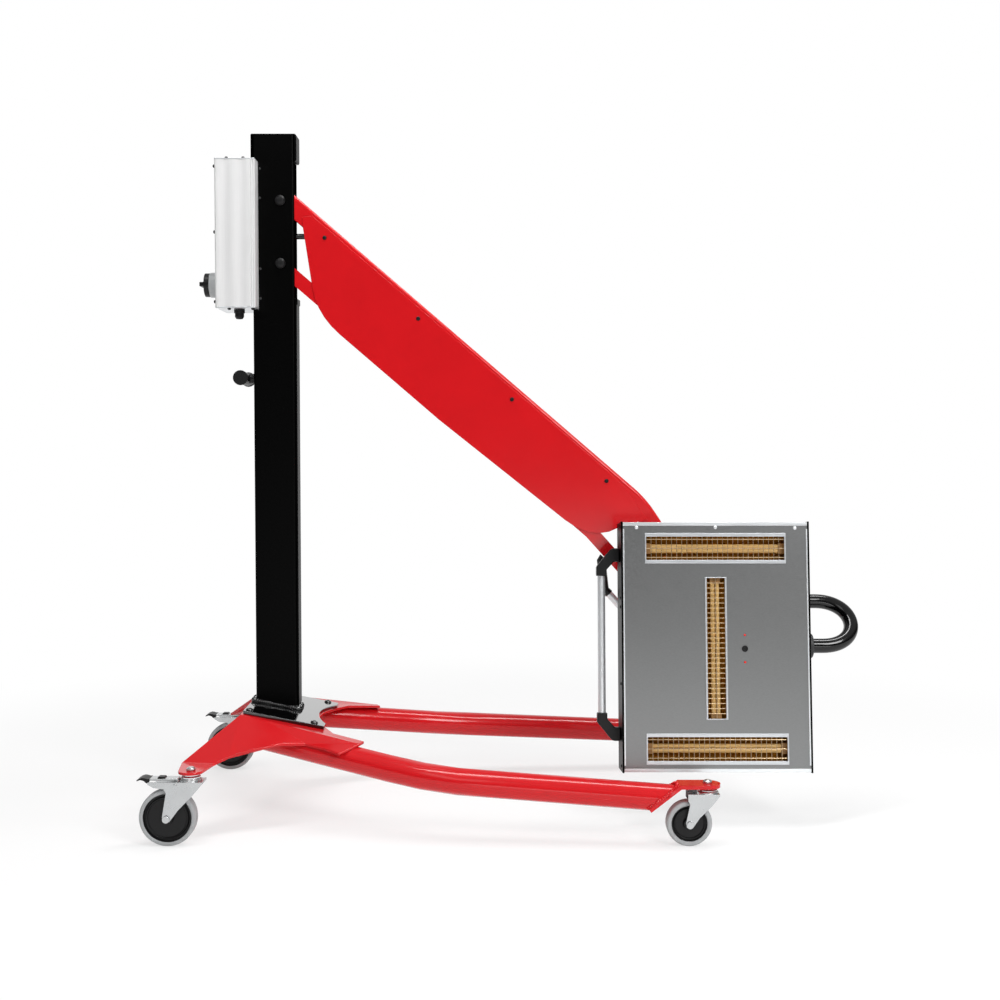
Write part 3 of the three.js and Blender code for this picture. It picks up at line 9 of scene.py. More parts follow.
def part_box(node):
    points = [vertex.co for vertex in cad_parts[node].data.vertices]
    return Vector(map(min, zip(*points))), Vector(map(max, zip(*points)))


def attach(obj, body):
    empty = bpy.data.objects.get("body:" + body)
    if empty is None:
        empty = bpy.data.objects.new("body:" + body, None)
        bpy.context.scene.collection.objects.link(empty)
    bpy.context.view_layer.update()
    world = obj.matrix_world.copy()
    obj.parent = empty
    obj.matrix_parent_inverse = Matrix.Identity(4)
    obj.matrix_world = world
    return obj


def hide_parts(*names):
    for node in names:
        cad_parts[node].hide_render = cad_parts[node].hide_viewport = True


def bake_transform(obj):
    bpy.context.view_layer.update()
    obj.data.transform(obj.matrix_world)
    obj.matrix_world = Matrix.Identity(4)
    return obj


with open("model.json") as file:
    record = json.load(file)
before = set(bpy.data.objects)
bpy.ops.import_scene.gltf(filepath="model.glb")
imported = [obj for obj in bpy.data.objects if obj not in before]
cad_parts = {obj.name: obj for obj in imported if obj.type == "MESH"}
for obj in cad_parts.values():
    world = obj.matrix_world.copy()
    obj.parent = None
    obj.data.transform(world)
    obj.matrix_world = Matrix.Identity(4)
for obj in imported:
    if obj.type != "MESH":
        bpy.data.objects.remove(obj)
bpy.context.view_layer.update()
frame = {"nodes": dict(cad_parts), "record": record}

nodes = frame["nodes"]
record = frame["record"]
bodyOf = {node: body for body, members in record["behaviour"]["bodies"].items() for node in members}
slotOf = {entry["node"]: entry["material_slot"] for entry in record["subparts"]}
bothSides = (("near", -1), ("far", 1))
print("stage: frame loaded")

# Placing: millimetres from the pillar's middle on the floor, into the row's metres
place = {
    "pivotX": 16.5, "pivotZ": 1459.2, "spacing": 149.2, "armAngle": math.radians(40.7),
    "headX": 1041.5, "headY": -176, "headZ": 411.5, "lean": math.radians(7.16),
    "plateSlope": math.atan(0.197), "plateTopZ": 243.99,
}
pillarLow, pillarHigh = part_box("pillar")
pillarX = (pillarLow[0] + pillarHigh[0]) / 2
standFrame = Matrix.Translation((pillarX, 0, 0)) @ Matrix.Scale(0.001, 4)
armTurn = Matrix.Rotation(place["armAngle"], 4, "Y")
upperFrame = standFrame @ Matrix.Translation((place["pivotX"], 0, place["pivotZ"])) @ armTurn
lowerPivotZ = place["pivotZ"] - place["spacing"]
lowerFrame = standFrame @ Matrix.Translation((place["pivotX"], 0, lowerPivotZ)) @ armTurn
headFrame = (standFrame @ Matrix.Translation((place["headX"], place["headY"], place["headZ"]))
             @ Matrix.Rotation(-place["lean"], 4, "X"))
plateFrame = (standFrame @ Matrix.Translation((0, 0, place["plateTopZ"]))
              @ Matrix.Rotation(place["plateSlope"], 4, "Y"))


def linear(code):
    values = [int(code[i:i + 2], 16) / 255 for i in (0, 2, 4)]
    return [v / 12.92 if v <= 0.04045 else ((v + 0.055) / 1.055) ** 2.4 for v in values] + [1.0]


def addNode(tree, kind, settings=None, links=None):
    # A link is given by the socket it comes from, or by a node, which stands for its first output
    node = tree.nodes.new(kind)
    for key, value in (settings or {}).items():
        if key in node.inputs:
            node.inputs[key].default_value = value
        else:
            setattr(node, key, value)
    for key, origin in (links or {}).items():
        tree.links.new(getattr(origin, "outputs", [origin])[0], node.inputs[key])
    return node


def newMaterial(name, values):
    material = bpy.data.materials.new(name)
    material.use_nodes = True
    tree = material.node_tree
    shader = tree.nodes["Principled BSDF"]
    for key, value in values.items():
        shader.inputs[key].default_value = value
    return material, tree, shader


# The range that holds nearly all of a noise, and the grain of a finish that doesn't say otherwise
noiseSpan = {"From Min": 0.3, "From Max": 0.7}
usualGrain = {"size": 2, "cloud": 110, "stretch": (1, 1, 1), "streaks": False, "sheen": 0.05, "mottle": 0.05,
              "relief": 0.1, "depth": 0.2}


def grained(name, code, values, ownGrain):
    # One colour with a slow mottle, a fine texture in the sheen and a fine relief; sizes in millimetres
    grain = {**usualGrain, **ownGrain}
    material, tree, shader = newMaterial(name, {"Base Color": linear(code), **values})
    coords = addNode(tree, "ShaderNodeTexCoord").outputs["Object"]
    stretch = addNode(tree, "ShaderNodeMapping", {"Scale": grain["stretch"]}, {"Vector": coords})
    fine = addNode(tree, "ShaderNodeTexNoise", {"Scale": 1000 / grain["size"], "Detail": 3},
                   {"Vector": stretch})
    slow = addNode(tree, "ShaderNodeTexNoise", {"Scale": 1000 / grain["cloud"], "Detail": 4},
                   {"Vector": coords})
    rough, change = values["Roughness"], grain["sheen"]
    sheen = addNode(tree, "ShaderNodeMapRange",
                    {**noiseSpan, "To Min": rough - change, "To Max": rough + change}, {"Value": fine})
    share = addNode(tree, "ShaderNodeMapRange", noiseSpan, {"Value": fine if grain["streaks"] else slow})
    mixed = addNode(tree, "ShaderNodeMix", {"data_type": "RGBA"}, {"Factor": share})
    ends = [socket for socket in mixed.inputs if socket.type == "RGBA"]
    for end, tint in zip(ends, (1 - grain["mottle"], 1 + grain["mottle"])):
        end.default_value = [min(1, c * tint) for c in linear(code)[:3]] + [1]
    colour = [socket for socket in mixed.outputs if socket.type == "RGBA"][0]
    relief = addNode(tree, "ShaderNodeBump", {"Strength": grain["relief"], "Distance": grain["depth"] / 1000},
                     {"Height": fine})
    tree.links.new(sheen.outputs["Result"], shader.inputs["Roughness"])
    tree.links.new(colour, shader.inputs["Base Color"])
    tree.links.new(relief.outputs["Normal"], shader.inputs["Normal"])
    return material


# What the eye sees of each: its colour, its sheen, and the grain that its making leaves
trimGrain = {"stretch": (0.03, 1, 1), "streaks": True, "mottle": 0.02, "relief": 0.02, "depth": 0.1}
looks = {
    # gloss powder coat on steel: a slight orange peel, sharp reflections along rounded edges
    "red_paint": grained("gloss_powder_coat_red", "c8161c",
                         {"Roughness": 0.15, "IOR": 1.5, "Specular IOR Level": 0.35},
                         {"size": 3.5, "sheen": 0.03, "mottle": 0.03, "relief": 0.02}),
    # satin powder coat on steel: nearly black, with soft broad highlights and a very fine grain
    "black_paint": grained("satin_powder_coat_black", "010101",
                           {"Roughness": 0.38, "IOR": 1.5, "Specular IOR Level": 0.05},
                           {"size": 2.2, "sheen": 0.04, "mottle": 0.1, "relief": 0.04}),
    # enamel under a clear coat: deep black that mirrors the bright backdrop at a low angle
    "black_gloss": grained("gloss_enamel_black", "050506",
                           {"Roughness": 0.12, "IOR": 1.5, "Specular IOR Level": 0.6,
                            "Coat Weight": 1.0, "Coat Roughness": 0.06, "Coat IOR": 1.55},
                           {"size": 4, "sheen": 0.03, "mottle": 0.08, "relief": 0.03, "depth": 0.3}),
    # injection-moulded nylon: dull, lightly grained
    "black_plastic": grained("moulded_nylon_black", "060607",
                             {"Roughness": 0.42, "IOR": 1.53, "Specular IOR Level": 0.3},
                             {"size": 1.2, "sheen": 0.06, "mottle": 0.1, "relief": 0.12}),
    # injection-moulded ABS: even light grey
    "grey_plastic": grained("moulded_abs_grey", "b9bcbd", {"Roughness": 0.42, "IOR": 1.53},
                            {"size": 1.2, "mottle": 0.03}),
    # bright zinc plate on pressed steel: smooth, faintly cloudy
    "zinc_steel": grained("bright_zinc_plated_steel", "c6c8c9", {"Roughness": 0.27, "Metallic": 1.0},
                          {"size": 30, "cloud": 40, "sheen": 0.03, "mottle": 0.03, "relief": 0.01}),
    # clear-anodised extrusion: silver white, fine lines along the pull
    "box_aluminium": grained("anodised_extruded_aluminium", "ebebeb", {"Roughness": 0.34, "Metallic": 0.25},
                             {"stretch": (1, 1, 0.02), "streaks": True, "mottle": 0.02, "relief": 0.03}),
    # brushed sheet: fine streaks along X from the abrasive belt
    "sheet_aluminium": grained("brushed_aluminium_sheet", "838484", {"Roughness": 0.36, "Metallic": 1.0},
                               {"size": 1.1, "stretch": (0.2, 1, 1), "streaks": True, "relief": 0.05,
                                "depth": 0.1}),
    # gold-coated polished sheet: warm mirror, dark where it faces the dark room
    "gold_reflector": grained("gold_coated_polished_sheet", "a87626", {"Roughness": 0.3, "Metallic": 0.65},
                              {"size": 9, "sheen": 0.06, "mottle": 0.1, "relief": 0.12, "depth": 0.6}),
    # fused quartz tube, gold-coated behind: pale amber with a bright line along it
    "quartz": grained("fused_quartz_tube", "f6cd84",
                      {"Roughness": 0.14, "IOR": 1.46, "Transmission Weight": 0.2},
                      {"size": 5, "sheen": 0.03, "mottle": 0.06, "relief": 0.03, "depth": 0.1}),
    # moulded grey non-marking rubber: chalky and dull
    "tyre": grained("moulded_grey_rubber", "a2a4a5",
                    {"Roughness": 0.62, "IOR": 1.52, "Specular IOR Level": 0.4}, {}),
    # glass-fibre board under green solder resist
    "circuit_board": grained("fibreglass_board_green", "1d5a37", {"Roughness": 0.5, "IOR": 1.5},
                             {"mottle": 0.1}),
    # extruded sheath: glossy black, faintly wavy
    "cable_sheath": grained("extruded_cable_sheath_black", "060607",
                            {"Roughness": 0.13, "IOR": 1.5, "Specular IOR Level": 0.5},
                            {"size": 12, "sheen": 0.03, "mottle": 0.08, "relief": 0.02, "depth": 0.3}),
    # From here on: finishes that differ from their slot's usual one.
    # folded lips and trims: bright satin aluminium, lighter than the brushed front
    "brightTrim": grained("satin_aluminium_trim", "e3e6e8", {"Roughness": 0.34, "Metallic": 0.7}, trimGrain),
    # rolled window frames: the same aluminium with painted shade, a shade darker, since they face the dim
    # room
    "shadedFrameTrim": grained("rolled_aluminium_frame_painted_shade", "c9cccf", {"Roughness": 0.36, "Metallic": 0.7}, trimGrain),
    # drawn and welded wire, with a painted reflection of the gold behind it that tints it warm
    "goldReflectionWire": grained("nickel_plated_steel_wire_painted_gold_reflection", "c9b08c", {"Roughness": 0.3, "Metallic": 0.9},
                        {"size": 3, "mottle": 0.08, "relief": 0.03, "depth": 0.1}),
    # turned and polished: the casters' swivel races
    "chrome": grained("polished_chrome_plate", "d9dbdd", {"Roughness": 0.1, "Metallic": 1.0},
                      {"size": 10, "sheen": 0.03, "mottle": 0.03, "relief": 0.01, "depth": 0.1}),
    # charcoal glass-filled nylon: greyer than the other mouldings
    "charcoal": grained("glass_filled_nylon_charcoal", "2c2d2e", {"Roughness": 0.5, "IOR": 1.53},
                        {"size": 1.2, "mottle": 0.12, "relief": 0.12}),
    # fired ceramic, golden brown from painted gold light of the reflector: the lamp ends
    "ceramic": grained("glazed_steatite_ceramic_painted_gold_light", "9c7034", {"Roughness": 0.45, "IOR": 1.6},
                       {"size": 3, "mottle": 0.08, "relief": 0.05, "depth": 0.1}),
    # clear red acrylic over the aiming lights
    "redLens": grained("moulded_acrylic_red", "e0241c", {"Roughness": 0.12, "IOR": 1.49},
                       {"sheen": 0.03, "relief": 0.02, "depth": 0.1}),
}
for nodeName, source in nodes.items():
    source.data.materials.clear()
    source.data.materials.append(looks[slotOf[nodeName]])
print("stage: materials")

# Edges over roundFrom degrees are rounded, and faces within flatWithin degrees of each other are one face
edgeRules = {"roundFrom": 30, "flatWithin": 1, "mergeWithin": 0.00001, "faceWeight": 80}


def joinFlat(bm):
    flat = math.radians(edgeRules["flatWithin"])
    bmesh.ops.dissolve_limit(bm, angle_limit=flat, verts=bm.verts, edges=bm.edges)


def addPrism(bm, outline, axis, low, high, holes=()):
    order = {
        "x": lambda a, b, c: (c, a, b),
        "y": lambda a, b, c: (a, c, b),
        "z": lambda a, b, c: (a, b, c),
    }[axis]
    levels = []
    for level in (low, high):
        rings = [[bm.verts.new(order(a, b, level)) for a, b in loop] for loop in (outline, *holes)]
        if holes:
            edges = [bm.edges.new((ring[i - 1], ring[i])) for ring in rings for i in range(len(ring))]
            bmesh.ops.triangle_fill(bm, use_beauty=True, edges=edges)
        else:
            bm.faces.new(rings[0])
        levels.append(rings)
    for lowRing, highRing in zip(*levels):
        for i in range(len(lowRing)):
            bm.faces.new((lowRing[i - 1], lowRing[i], highRing[i], highRing[i - 1]))
    if holes:
        joinFlat(bm)


def rectangle(halfA, halfB, centre=(0, 0)):
    return [(centre[0] + a * halfA, centre[1] + b * halfB) for a, b in ((-1, -1), (1, -1), (1, 1), (-1, 1))]


def circle(radius, centre=(0, 0), sides=32):
    turns = [2 * math.pi * i / sides for i in range(sides)]
    return [(centre[0] + radius * math.cos(t), centre[1] + radius * math.sin(t)) for t in turns]


def rod(radius, half):
    return [(0, -half), (radius, -half), (radius, half), (0, half)]


def addTurned(bm, profile, axis, centre=(0, 0, 0), sides=48, closed=False):
    # Profile of (radius, height) along the axis; points on the axis close its ends
    order = {
        "x": lambda r, s, h: (h, r, s),
        "y": lambda r, s, h: (s, h, r),
        "z": lambda r, s, h: (r, s, h),
    }[axis]
    rings = []
    for radius, height in profile:
        points = circle(radius, sides=sides) if radius > 1e-6 else [(0, 0)]
        rings.append([bm.verts.new(Vector(centre) + Vector(order(a, b, height))) for a, b in points])
    pairs = list(zip(rings, rings[1:])) + ([(rings[-1], rings[0])] if closed else [])
    for a, b in pairs:
        for i in range(sides):
            j = (i + 1) % sides
            if len(a) == 1:
                bm.faces.new((a[0], b[j], b[i]))
            elif len(b) == 1:
                bm.faces.new((a[i], a[j], b[0]))
            else:
                bm.faces.new((a[i], a[j], b[j], b[i]))


def addSweep(bm, points, radius, sides=24, swell=None, closed=False):
    # Round bar along points with no twist; swell gives a share of the radius at each point
    points = [Vector(p) for p in points]
    count = len(points)
    rings = []
    normal = None
    for i, point in enumerate(points):
        before = points[i - 1] if closed or i else point
        after = points[(i + 1) % count] if closed or i < count - 1 else point
        tangent = (after - before).normalized()
        normal = normal or tangent.orthogonal()
        normal = (normal - tangent * normal.dot(tangent)).normalized()
        side = tangent.cross(normal)
        reach = radius * (swell(i) if swell else 1)
        rings.append([bm.verts.new(point + a * normal + b * side) for a, b in circle(reach, sides=sides)])
    pairs = list(zip(rings, rings[1:])) + ([(rings[-1], rings[0])] if closed else [])
    for a, b in pairs:
        for k in range(sides):
            bm.faces.new((a[k], a[(k + 1) % sides], b[(k + 1) % sides], b[k]))
    if not closed:
        bm.faces.new(rings[0])
        bm.faces.new(rings[-1])


def rounded(points, reach, steps=8):
    # Straight between the points, with each inner corner rounded over the reach
    corners = [Vector(p) for p in points]
    path = [corners[0]]
    for before, corner, after in zip(corners, corners[1:], corners[2:]):
        start = corner + (before - corner).normalized() * reach
        end = corner + (after - corner).normalized() * reach
        for i in range(steps + 1):
            t = i / steps
            path.append(start * (1 - t) ** 2 + corner * 2 * t * (1 - t) + end * t ** 2)
    path.append(corners[-1])
    return path


def settle(obj, modifiers):
    # Applies the modifiers to the mesh and takes them off
    for kind, settings in modifiers:
        modifier = obj.modifiers.new(kind.lower(), kind)
        for key, value in settings.items():
            setattr(modifier, key, value)
    evaluated = obj.evaluated_get(bpy.context.evaluated_depsgraph_get())
    mesh = bpy.data.meshes.new_from_object(evaluated)
    obj.modifiers.clear()
    old = obj.data
    obj.data = mesh
    bpy.data.meshes.remove(old)


def toMesh(name, bm):
    mesh = bpy.data.meshes.new(name)
    bm.to_mesh(mesh)
    bm.free()
    return mesh


def newObject(name, data):
    obj = bpy.data.objects.new(name, data)
    bpy.context.scene.collection.objects.link(obj)
    return obj


def smooth(mesh, angle):
    mesh.polygons.foreach_set("use_smooth", [True] * len(mesh.polygons))
    mesh.set_sharp_from_angle(angle=math.radians(angle))


def register(obj, body, slot, replaced):
    if replaced:
        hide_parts(*replaced)
    if body:
        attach(obj, body)
    return obj


def finishPiece(name, bm, placing, body, slot, replaced=(), bevel=0.0, angle=30, look=None, wide=None):
    # Rounds the sharp edges by bevel; wide is (radius, test) for the edges with a larger radius. A piece
    # with no bevel is smooth up to the angle
    bmesh.ops.recalc_face_normals(bm, faces=bm.faces)
    widest = wide[0] if wide else bevel
    if bevel:
        weights = bm.edges.layers.float.new("bevel_weight_edge")
        for edge in bm.edges:
            turn = edge.calc_face_angle(0) if len(edge.link_faces) == 2 else 0
            if turn > math.radians(edgeRules["roundFrom"]):
                edge[weights] = bevel / widest
            if wide and wide[1](edge, math.degrees(turn)):
                edge[weights] = 1.0
    bm.transform(placing)
    mesh = toMesh(name, bm)
    mesh.materials.append(looks[look or slot])
    obj = newObject(name, mesh)
    smooth(mesh, 180 if bevel else angle)
    if bevel:
        settle(obj, [
            ("BEVEL", {"width": widest / 1000, "segments": 4 if wide else 2, "limit_method": "WEIGHT",
                       "use_clamp_overlap": not wide}),
            ("WEIGHTED_NORMAL", {"mode": "FACE_AREA", "weight": edgeRules["faceWeight"], "keep_sharp": True}),
        ])
    return register(obj, body, slot, replaced)


def dress(node, bevel=0.0, look=None, wide=None, shape=None):
    # The CAD node's own shape with its real rounded edges; shape moves its points
    bm = bmesh.new()
    bm.from_mesh(nodes[node].data)
    for vert in bm.verts:
        vert.co = shape(vert.co) if shape else vert.co
    bmesh.ops.remove_doubles(bm, verts=bm.verts, dist=edgeRules["mergeWithin"])
    joinFlat(bm)
    return finishPiece(f"{node}_dressed", bm, Matrix.Identity(4), bodyOf[node], slotOf[node], [node], bevel,
                       look=look, wide=wide)


def dressAll(edges, look=None):
    # Several nodes, each with the width of its rounded edges
    for node, edge in edges.items():
        dress(node, edge, look)


# Geometry Nodes tree for what repeats: an item at each place, turned by chance about its own axis
scatter = bpy.data.node_groups.new("scatterItems", "GeometryNodeTree")
scatterSockets = {}
for label, kind in (("Places", "Geometry"), ("Item", "Object"), ("Axis", "Vector"), ("Largest Turn", "Float"),
                    ("Seed", "Int"), ("Finish", "Material")):
    socket = scatter.interface.new_socket(label, in_out="INPUT", socket_type=f"NodeSocket{kind}")
    scatterSockets[label] = socket.identifier
scatter.interface.new_socket("Items", in_out="OUTPUT", socket_type="NodeSocketGeometry")
given = addNode(scatter, "NodeGroupInput").outputs
itemInfo = addNode(scatter, "GeometryNodeObjectInfo", None, {"Object": given["Item"]})
chance = addNode(scatter, "FunctionNodeRandomValue", None, {"Seed": given["Seed"]})
largest = [socket for socket in chance.inputs if socket.name == "Max" and socket.type == "VALUE"][0]
scatter.links.new(given["Largest Turn"], largest)
chosen = [socket for socket in chance.outputs if socket.type == "VALUE"][0]
turning = addNode(scatter, "FunctionNodeAxisAngleToRotation", None, {"Axis": given["Axis"], "Angle": chosen})
items = addNode(scatter, "GeometryNodeInstanceOnPoints", None, {
    "Points": given["Places"], "Instance": itemInfo.outputs["Geometry"], "Rotation": turning,
})
real = addNode(scatter, "GeometryNodeRealizeInstances", None, {"Geometry": items})
painted = addNode(scatter, "GeometryNodeSetMaterial", None, {"Geometry": real, "Material": given["Finish"]})
addNode(scatter, "NodeGroupOutput", None, {"Items": painted})


def repeat(name, placing, spots, itemMesh, body, slot, axis=(0, 0, 1), turn=0.0, seed=1, look=None,
           replaced=()):
    bmesh.ops.recalc_face_normals(itemMesh, faces=itemMesh.faces)
    itemMesh.transform(placing.to_3x3().to_4x4())
    item = newObject(f"{name}_item", toMesh(f"{name}_item", itemMesh))
    spotData = bpy.data.meshes.new(name)
    spotData.from_pydata([placing @ Vector(spot) for spot in spots], [], [])
    obj = newObject(name, spotData)
    modifier = obj.modifiers.new("scatter", "NODES")
    modifier.node_group = scatter
    modifier[scatterSockets["Item"]] = item
    modifier[scatterSockets["Axis"]] = list((placing.to_3x3() @ Vector(axis)).normalized())
    modifier[scatterSockets["Largest Turn"]] = turn
    modifier[scatterSockets["Seed"]] = seed
    modifier[scatterSockets["Finish"]] = looks[look or slot]
    settle(obj, [])
    bpy.data.objects.remove(item)
    smooth(obj.data, 35)
    return register(obj, body, slot, replaced)


# Heads of screws and rivets: shares of their radius and height
screwShares = [(0, 0), (1, 0), (1, 0.35), (0.86, 0.75), (0.6, 1), (0.42, 1), (0.42, 0.45), (0, 0.45)]
rivetShares = [(0, 0), (1, 0), (0.92, 0.4), (0.7, 0.8), (0.35, 0.97), (0, 1)]


def heads(name, placing, spots, size, axis, way, body, slot="black_plastic", look=None, shares=screwShares):
    # Size is (radius, height) and way is 1 or -1 along the axis; each head is turned by chance
    pointing = {"x": (1, 0, 0), "y": (0, 1, 0), "z": (0, 0, 1)}[axis]
    bm = bmesh.new()
    addTurned(bm, [(a * size[0], b * way * size[1]) for a, b in shares], axis, sides=20)
    return repeat(name, placing, spots, bm, body, slot, pointing, math.pi, 4, look)


print("stage: tools")

# Pillar: its tube, the weld bead round its foot, cap, front cover and small screws
pillar = {
    "edges": {"pillar": 0.8, "pillar_cap": 1.4, "pillar_front_cover": 0.9},
    "fittings": {"push_handle": 1.8, "pivot_bolt_upper": 0.5, "pivot_bolt_lower": 0.5},
    "halfX": 50, "halfY": 25, "beadOut": 3, "beadRise": 3, "beadRadius": 6.2, "beadPitch": 5,
    "beadRipple": 0.24, "dropSteps": 3, "slowWaves": ((0.6, 0.37), (0.5, 0.113)),
    "screw": (3, 1.8), "screwX": -32, "screwLevels": (1534, 1465, 1297, 1226.5),
}
dressAll(pillar["edges"])


def weldBead():
    s = pillar
    corners = rectangle(s["halfX"] + s["beadOut"], s["halfY"] + s["beadOut"])
    slope = math.tan(place["plateSlope"])
    points = []
    for i, (x, y) in enumerate(corners):
        nextX, nextY = corners[(i + 1) % 4]
        steps = round(math.hypot(nextX - x, nextY - y) / s["beadPitch"]) * s["dropSteps"]
        for k in range(steps):
            t = k / steps
            px, py = x + (nextX - x) * t, y + (nextY - y) * t
            points.append((px, py, place["plateTopZ"] + s["beadRise"] - slope * px))
    return points


def beadSwell(i):
    # Each drop of the weld swells; slow waves make some drops larger
    drop = math.cos(2 * math.pi * i / pillar["dropSteps"])
    waves = [share * math.sin(i * pace) for share, pace in pillar["slowWaves"]]
    return 1 + pillar["beadRipple"] * sum(waves, drop)


# Bead where the leg's slanting end meets the caster bar, open over the gap at the bar's low end
legWeld = {"middle": (892, 347.9, 104.8), "axis": (551, 45.7, -30.4), "slant": (51, 65.8), "radius": 30.8,
           "rise": 1.6, "bead": 3.6, "gap": 42, "steps": 126}


def legBead(side):
    s = legWeld
    middle, along = Vector(s["middle"]), Vector(s["axis"]).normalized()
    slope = math.atan2(*s["slant"])
    normal = Vector((-math.sin(slope), 0, math.cos(slope)))
    first = along.cross(Vector((0, 1, 0))).normalized()
    second = along.cross(first)
    points = []
    for i in range(s["steps"] + 1):
        turn = math.radians(180 + s["gap"] + (360 - 2 * s["gap"]) * i / s["steps"])
        point = middle + (first * math.cos(turn) + second * math.sin(turn)) * s["radius"]
        point -= along * ((point - middle).dot(normal) / along.dot(normal))
        points.append((point.x, side * point.y, point.z + s["rise"]))
    return points


bm = bmesh.new()
addSweep(bm, weldBead(), pillar["beadRadius"], 16, beadSwell, closed=True)
finishPiece("pillar_weld_bead", bm, standFrame, "stand", "black_gloss", angle=60)
for where, side in bothSides:
    bm = bmesh.new()
    addSweep(bm, legBead(side), legWeld["bead"], 14, beadSwell)
    finishPiece(f"leg_weld_bead_{where}", bm, standFrame, "stand", "red_paint", angle=60)
for where, side in bothSides:
    spots = [(pillar["screwX"], side * pillar["halfY"], z) for z in pillar["screwLevels"]]
    heads(f"pillar_screws_{where}", standFrame, spots, pillar["screw"], "y", side, "stand", look="charcoal")
dressAll(pillar["fittings"])
print("stage: pillar")

# Base: a folded sheet, two legs and the foot plate with its four bolts
base = {
    "edge": 1.4, "fold": 3, "foldTurns": (7, 65), "steep": 0.9,
    "edges": {"leg_near": 0.9, "leg_far": 0.9, "foot_plate": 1.2},
    "bolt": (9, 5), "boltSpots": ((-48, -127), (-48, 127), (107, -127), (107, 127)),
}


def isFold(edge, turn):
    # Folds cross the sheet; the short steep edges are only its thickness
    run = edge.verts[1].co - edge.verts[0].co
    least, most = base["foldTurns"]
    return least < turn < most and abs(run.z) < base["steep"] * run.length


dress("base_sheet", base["edge"], wide=(base["fold"], isFold))
dressAll(base["edges"])
boltPlaces = [(x, y, 0) for x, y in base["boltSpots"]]
heads("foot_plate_bolts", plateFrame, boltPlaces, base["bolt"], "z", 1, "stand", "black_gloss")
print("stage: base")

# Control box: a fluted extrusion with two grooves near its front edge, end plates and screws
box = {
    "rear": -131.5, "front": -36, "halfY": 70, "low": 1203.3, "high": 1547.7, "wall": 2.5, "corner": 4,
    "fluteDepth": 1.5, "flutes": 2, "fluteSteps": 28, "fluteEnd": -50,
    "grooves": (-46.5, -41.2), "grooveWidth": 1.5, "grooveDepth": 2.2,
    "pillarHalfY": 25.3, "pillarRear": -50.3, "endPlate": 3.3,
    "screw": (4.2, 4.4), "screwY": 60,
    "topScrewX": (-104, -64.6), "bottomScrewX": (-100, -44), "rearScrewLevels": (1533, 1379, 1215),
    "plateEdges": {"control_box_top": 0.6, "control_box_bottom": 0.6},
    "edges": {"switch_base": 1.5, "main_switch_knob": 1.4, "cable_gland": 0.6, "control_board": 0.2},
}


def bothHalves(half):
    # The outline, then its mirror image
    return half + [(x, -y) for x, y in reversed(half)]


def boxOutline():
    # Near side from the rear corner to the front, then the grip round the pillar
    s = box
    rear, side, corner = s["rear"], -s["halfY"], s["corner"]
    half = [(rear, side + corner)]
    for i in range(1, 5):
        turn = math.radians(22.5 * i)
        half.append((rear + corner * (1 - math.cos(turn)), side + corner * (1 - math.sin(turn))))
    run = s["fluteEnd"] - rear - corner
    for i in range(1, s["fluteSteps"] + 1):
        share = i / s["fluteSteps"]
        wave = 0.5 - 0.5 * math.cos(2 * math.pi * s["flutes"] * share)
        half.append((rear + corner + run * share, side + s["fluteDepth"] * wave))
    wide, narrow, deep = s["grooveWidth"], s["grooveWidth"] / 2, side + s["grooveDepth"]
    for x in s["grooves"]:
        half += [(x - wide, side), (x - narrow, deep), (x + narrow, deep), (x + wide, side)]
    half += [(s["front"] - 1, side), (s["front"], side + 1),
             (s["front"], -s["pillarHalfY"]), (s["pillarRear"], -s["pillarHalfY"])]
    return bothHalves(half)


def boxRoom():
    s = box
    rear, front, side = s["rear"] + s["wall"], s["front"] - s["wall"], s["wall"] - s["halfY"]
    gripRear, gripSide = s["pillarRear"] - s["wall"], -s["pillarHalfY"] - s["wall"]
    return bothHalves([(rear, side), (front, side), (front, gripSide), (gripRear, gripSide)])


bm = bmesh.new()
addPrism(bm, boxOutline(), "z", box["low"], box["high"], [boxRoom()])
finishPiece("control_box_extrusion", bm, standFrame, "stand", "box_aluminium", ["control_box"], angle=35)
dressAll(box["plateEdges"], "brightTrim")
for where, xs, z, way in (("top", box["topScrewX"], box["high"] + box["endPlate"], 1),
                          ("bottom", box["bottomScrewX"], box["low"] - box["endPlate"], -1)):
    spots = [(x, side * box["screwY"], z) for x in xs for side in (-1, 1)]
    heads(f"control_box_{where}_screws", standFrame, spots, box["screw"], "z", way, "stand")
spots = [(box["rear"], side * box["screwY"], z) for z in box["rearScrewLevels"] for side in (-1, 1)]
heads("control_box_rear_screws", standFrame, spots, box["screw"], "x", -1, "stand")
dressAll(box["edges"])
print("stage: control box")

# Arm: two bars, side panels with four screws each, gas spring, cable and under handle
arm = {
    "topRound": 8, "edge": 1.2, "barHalf": 20, "topV": 20, "bendU": 1091.5, "bendFall": 0.3,
    "topWithin": 0.1, "topLonger": 5, "topTurn": 60,
    "panelFace": 22.5, "screw": (5, 2.6), "screwU": (137.5, 432.4, 728.8, 1029.5), "screwV": 1.7,
    "edges": {"lower_arm": 1.2, "arm_panel_near": 1.2, "arm_panel_far": 1.2},
    "springEdges": {"gas_spring_tube": 0.6, "gas_spring_rod": 0.4},
    "headEdges": {"head_link": 1.2, "swivel_spindle": 0.6, "tilt_bracket": 0.8},
}
upperInverse = upperFrame.inverted()


def isArmTop(edge, turn):
    # The two long edges on top of the upper bar, which falls away past its bend
    ends = [upperInverse @ vert.co for vert in edge.verts]
    outside = all(abs(abs(end.y) - arm["barHalf"]) < arm["topWithin"] for end in ends)
    along = abs(ends[1].x - ends[0].x) > arm["topLonger"]
    sag = max(0, (ends[0].x + ends[1].x) / 2 - arm["bendU"]) * arm["bendFall"]
    return turn > arm["topTurn"] and outside and along and ends[0].z > arm["topV"] - sag


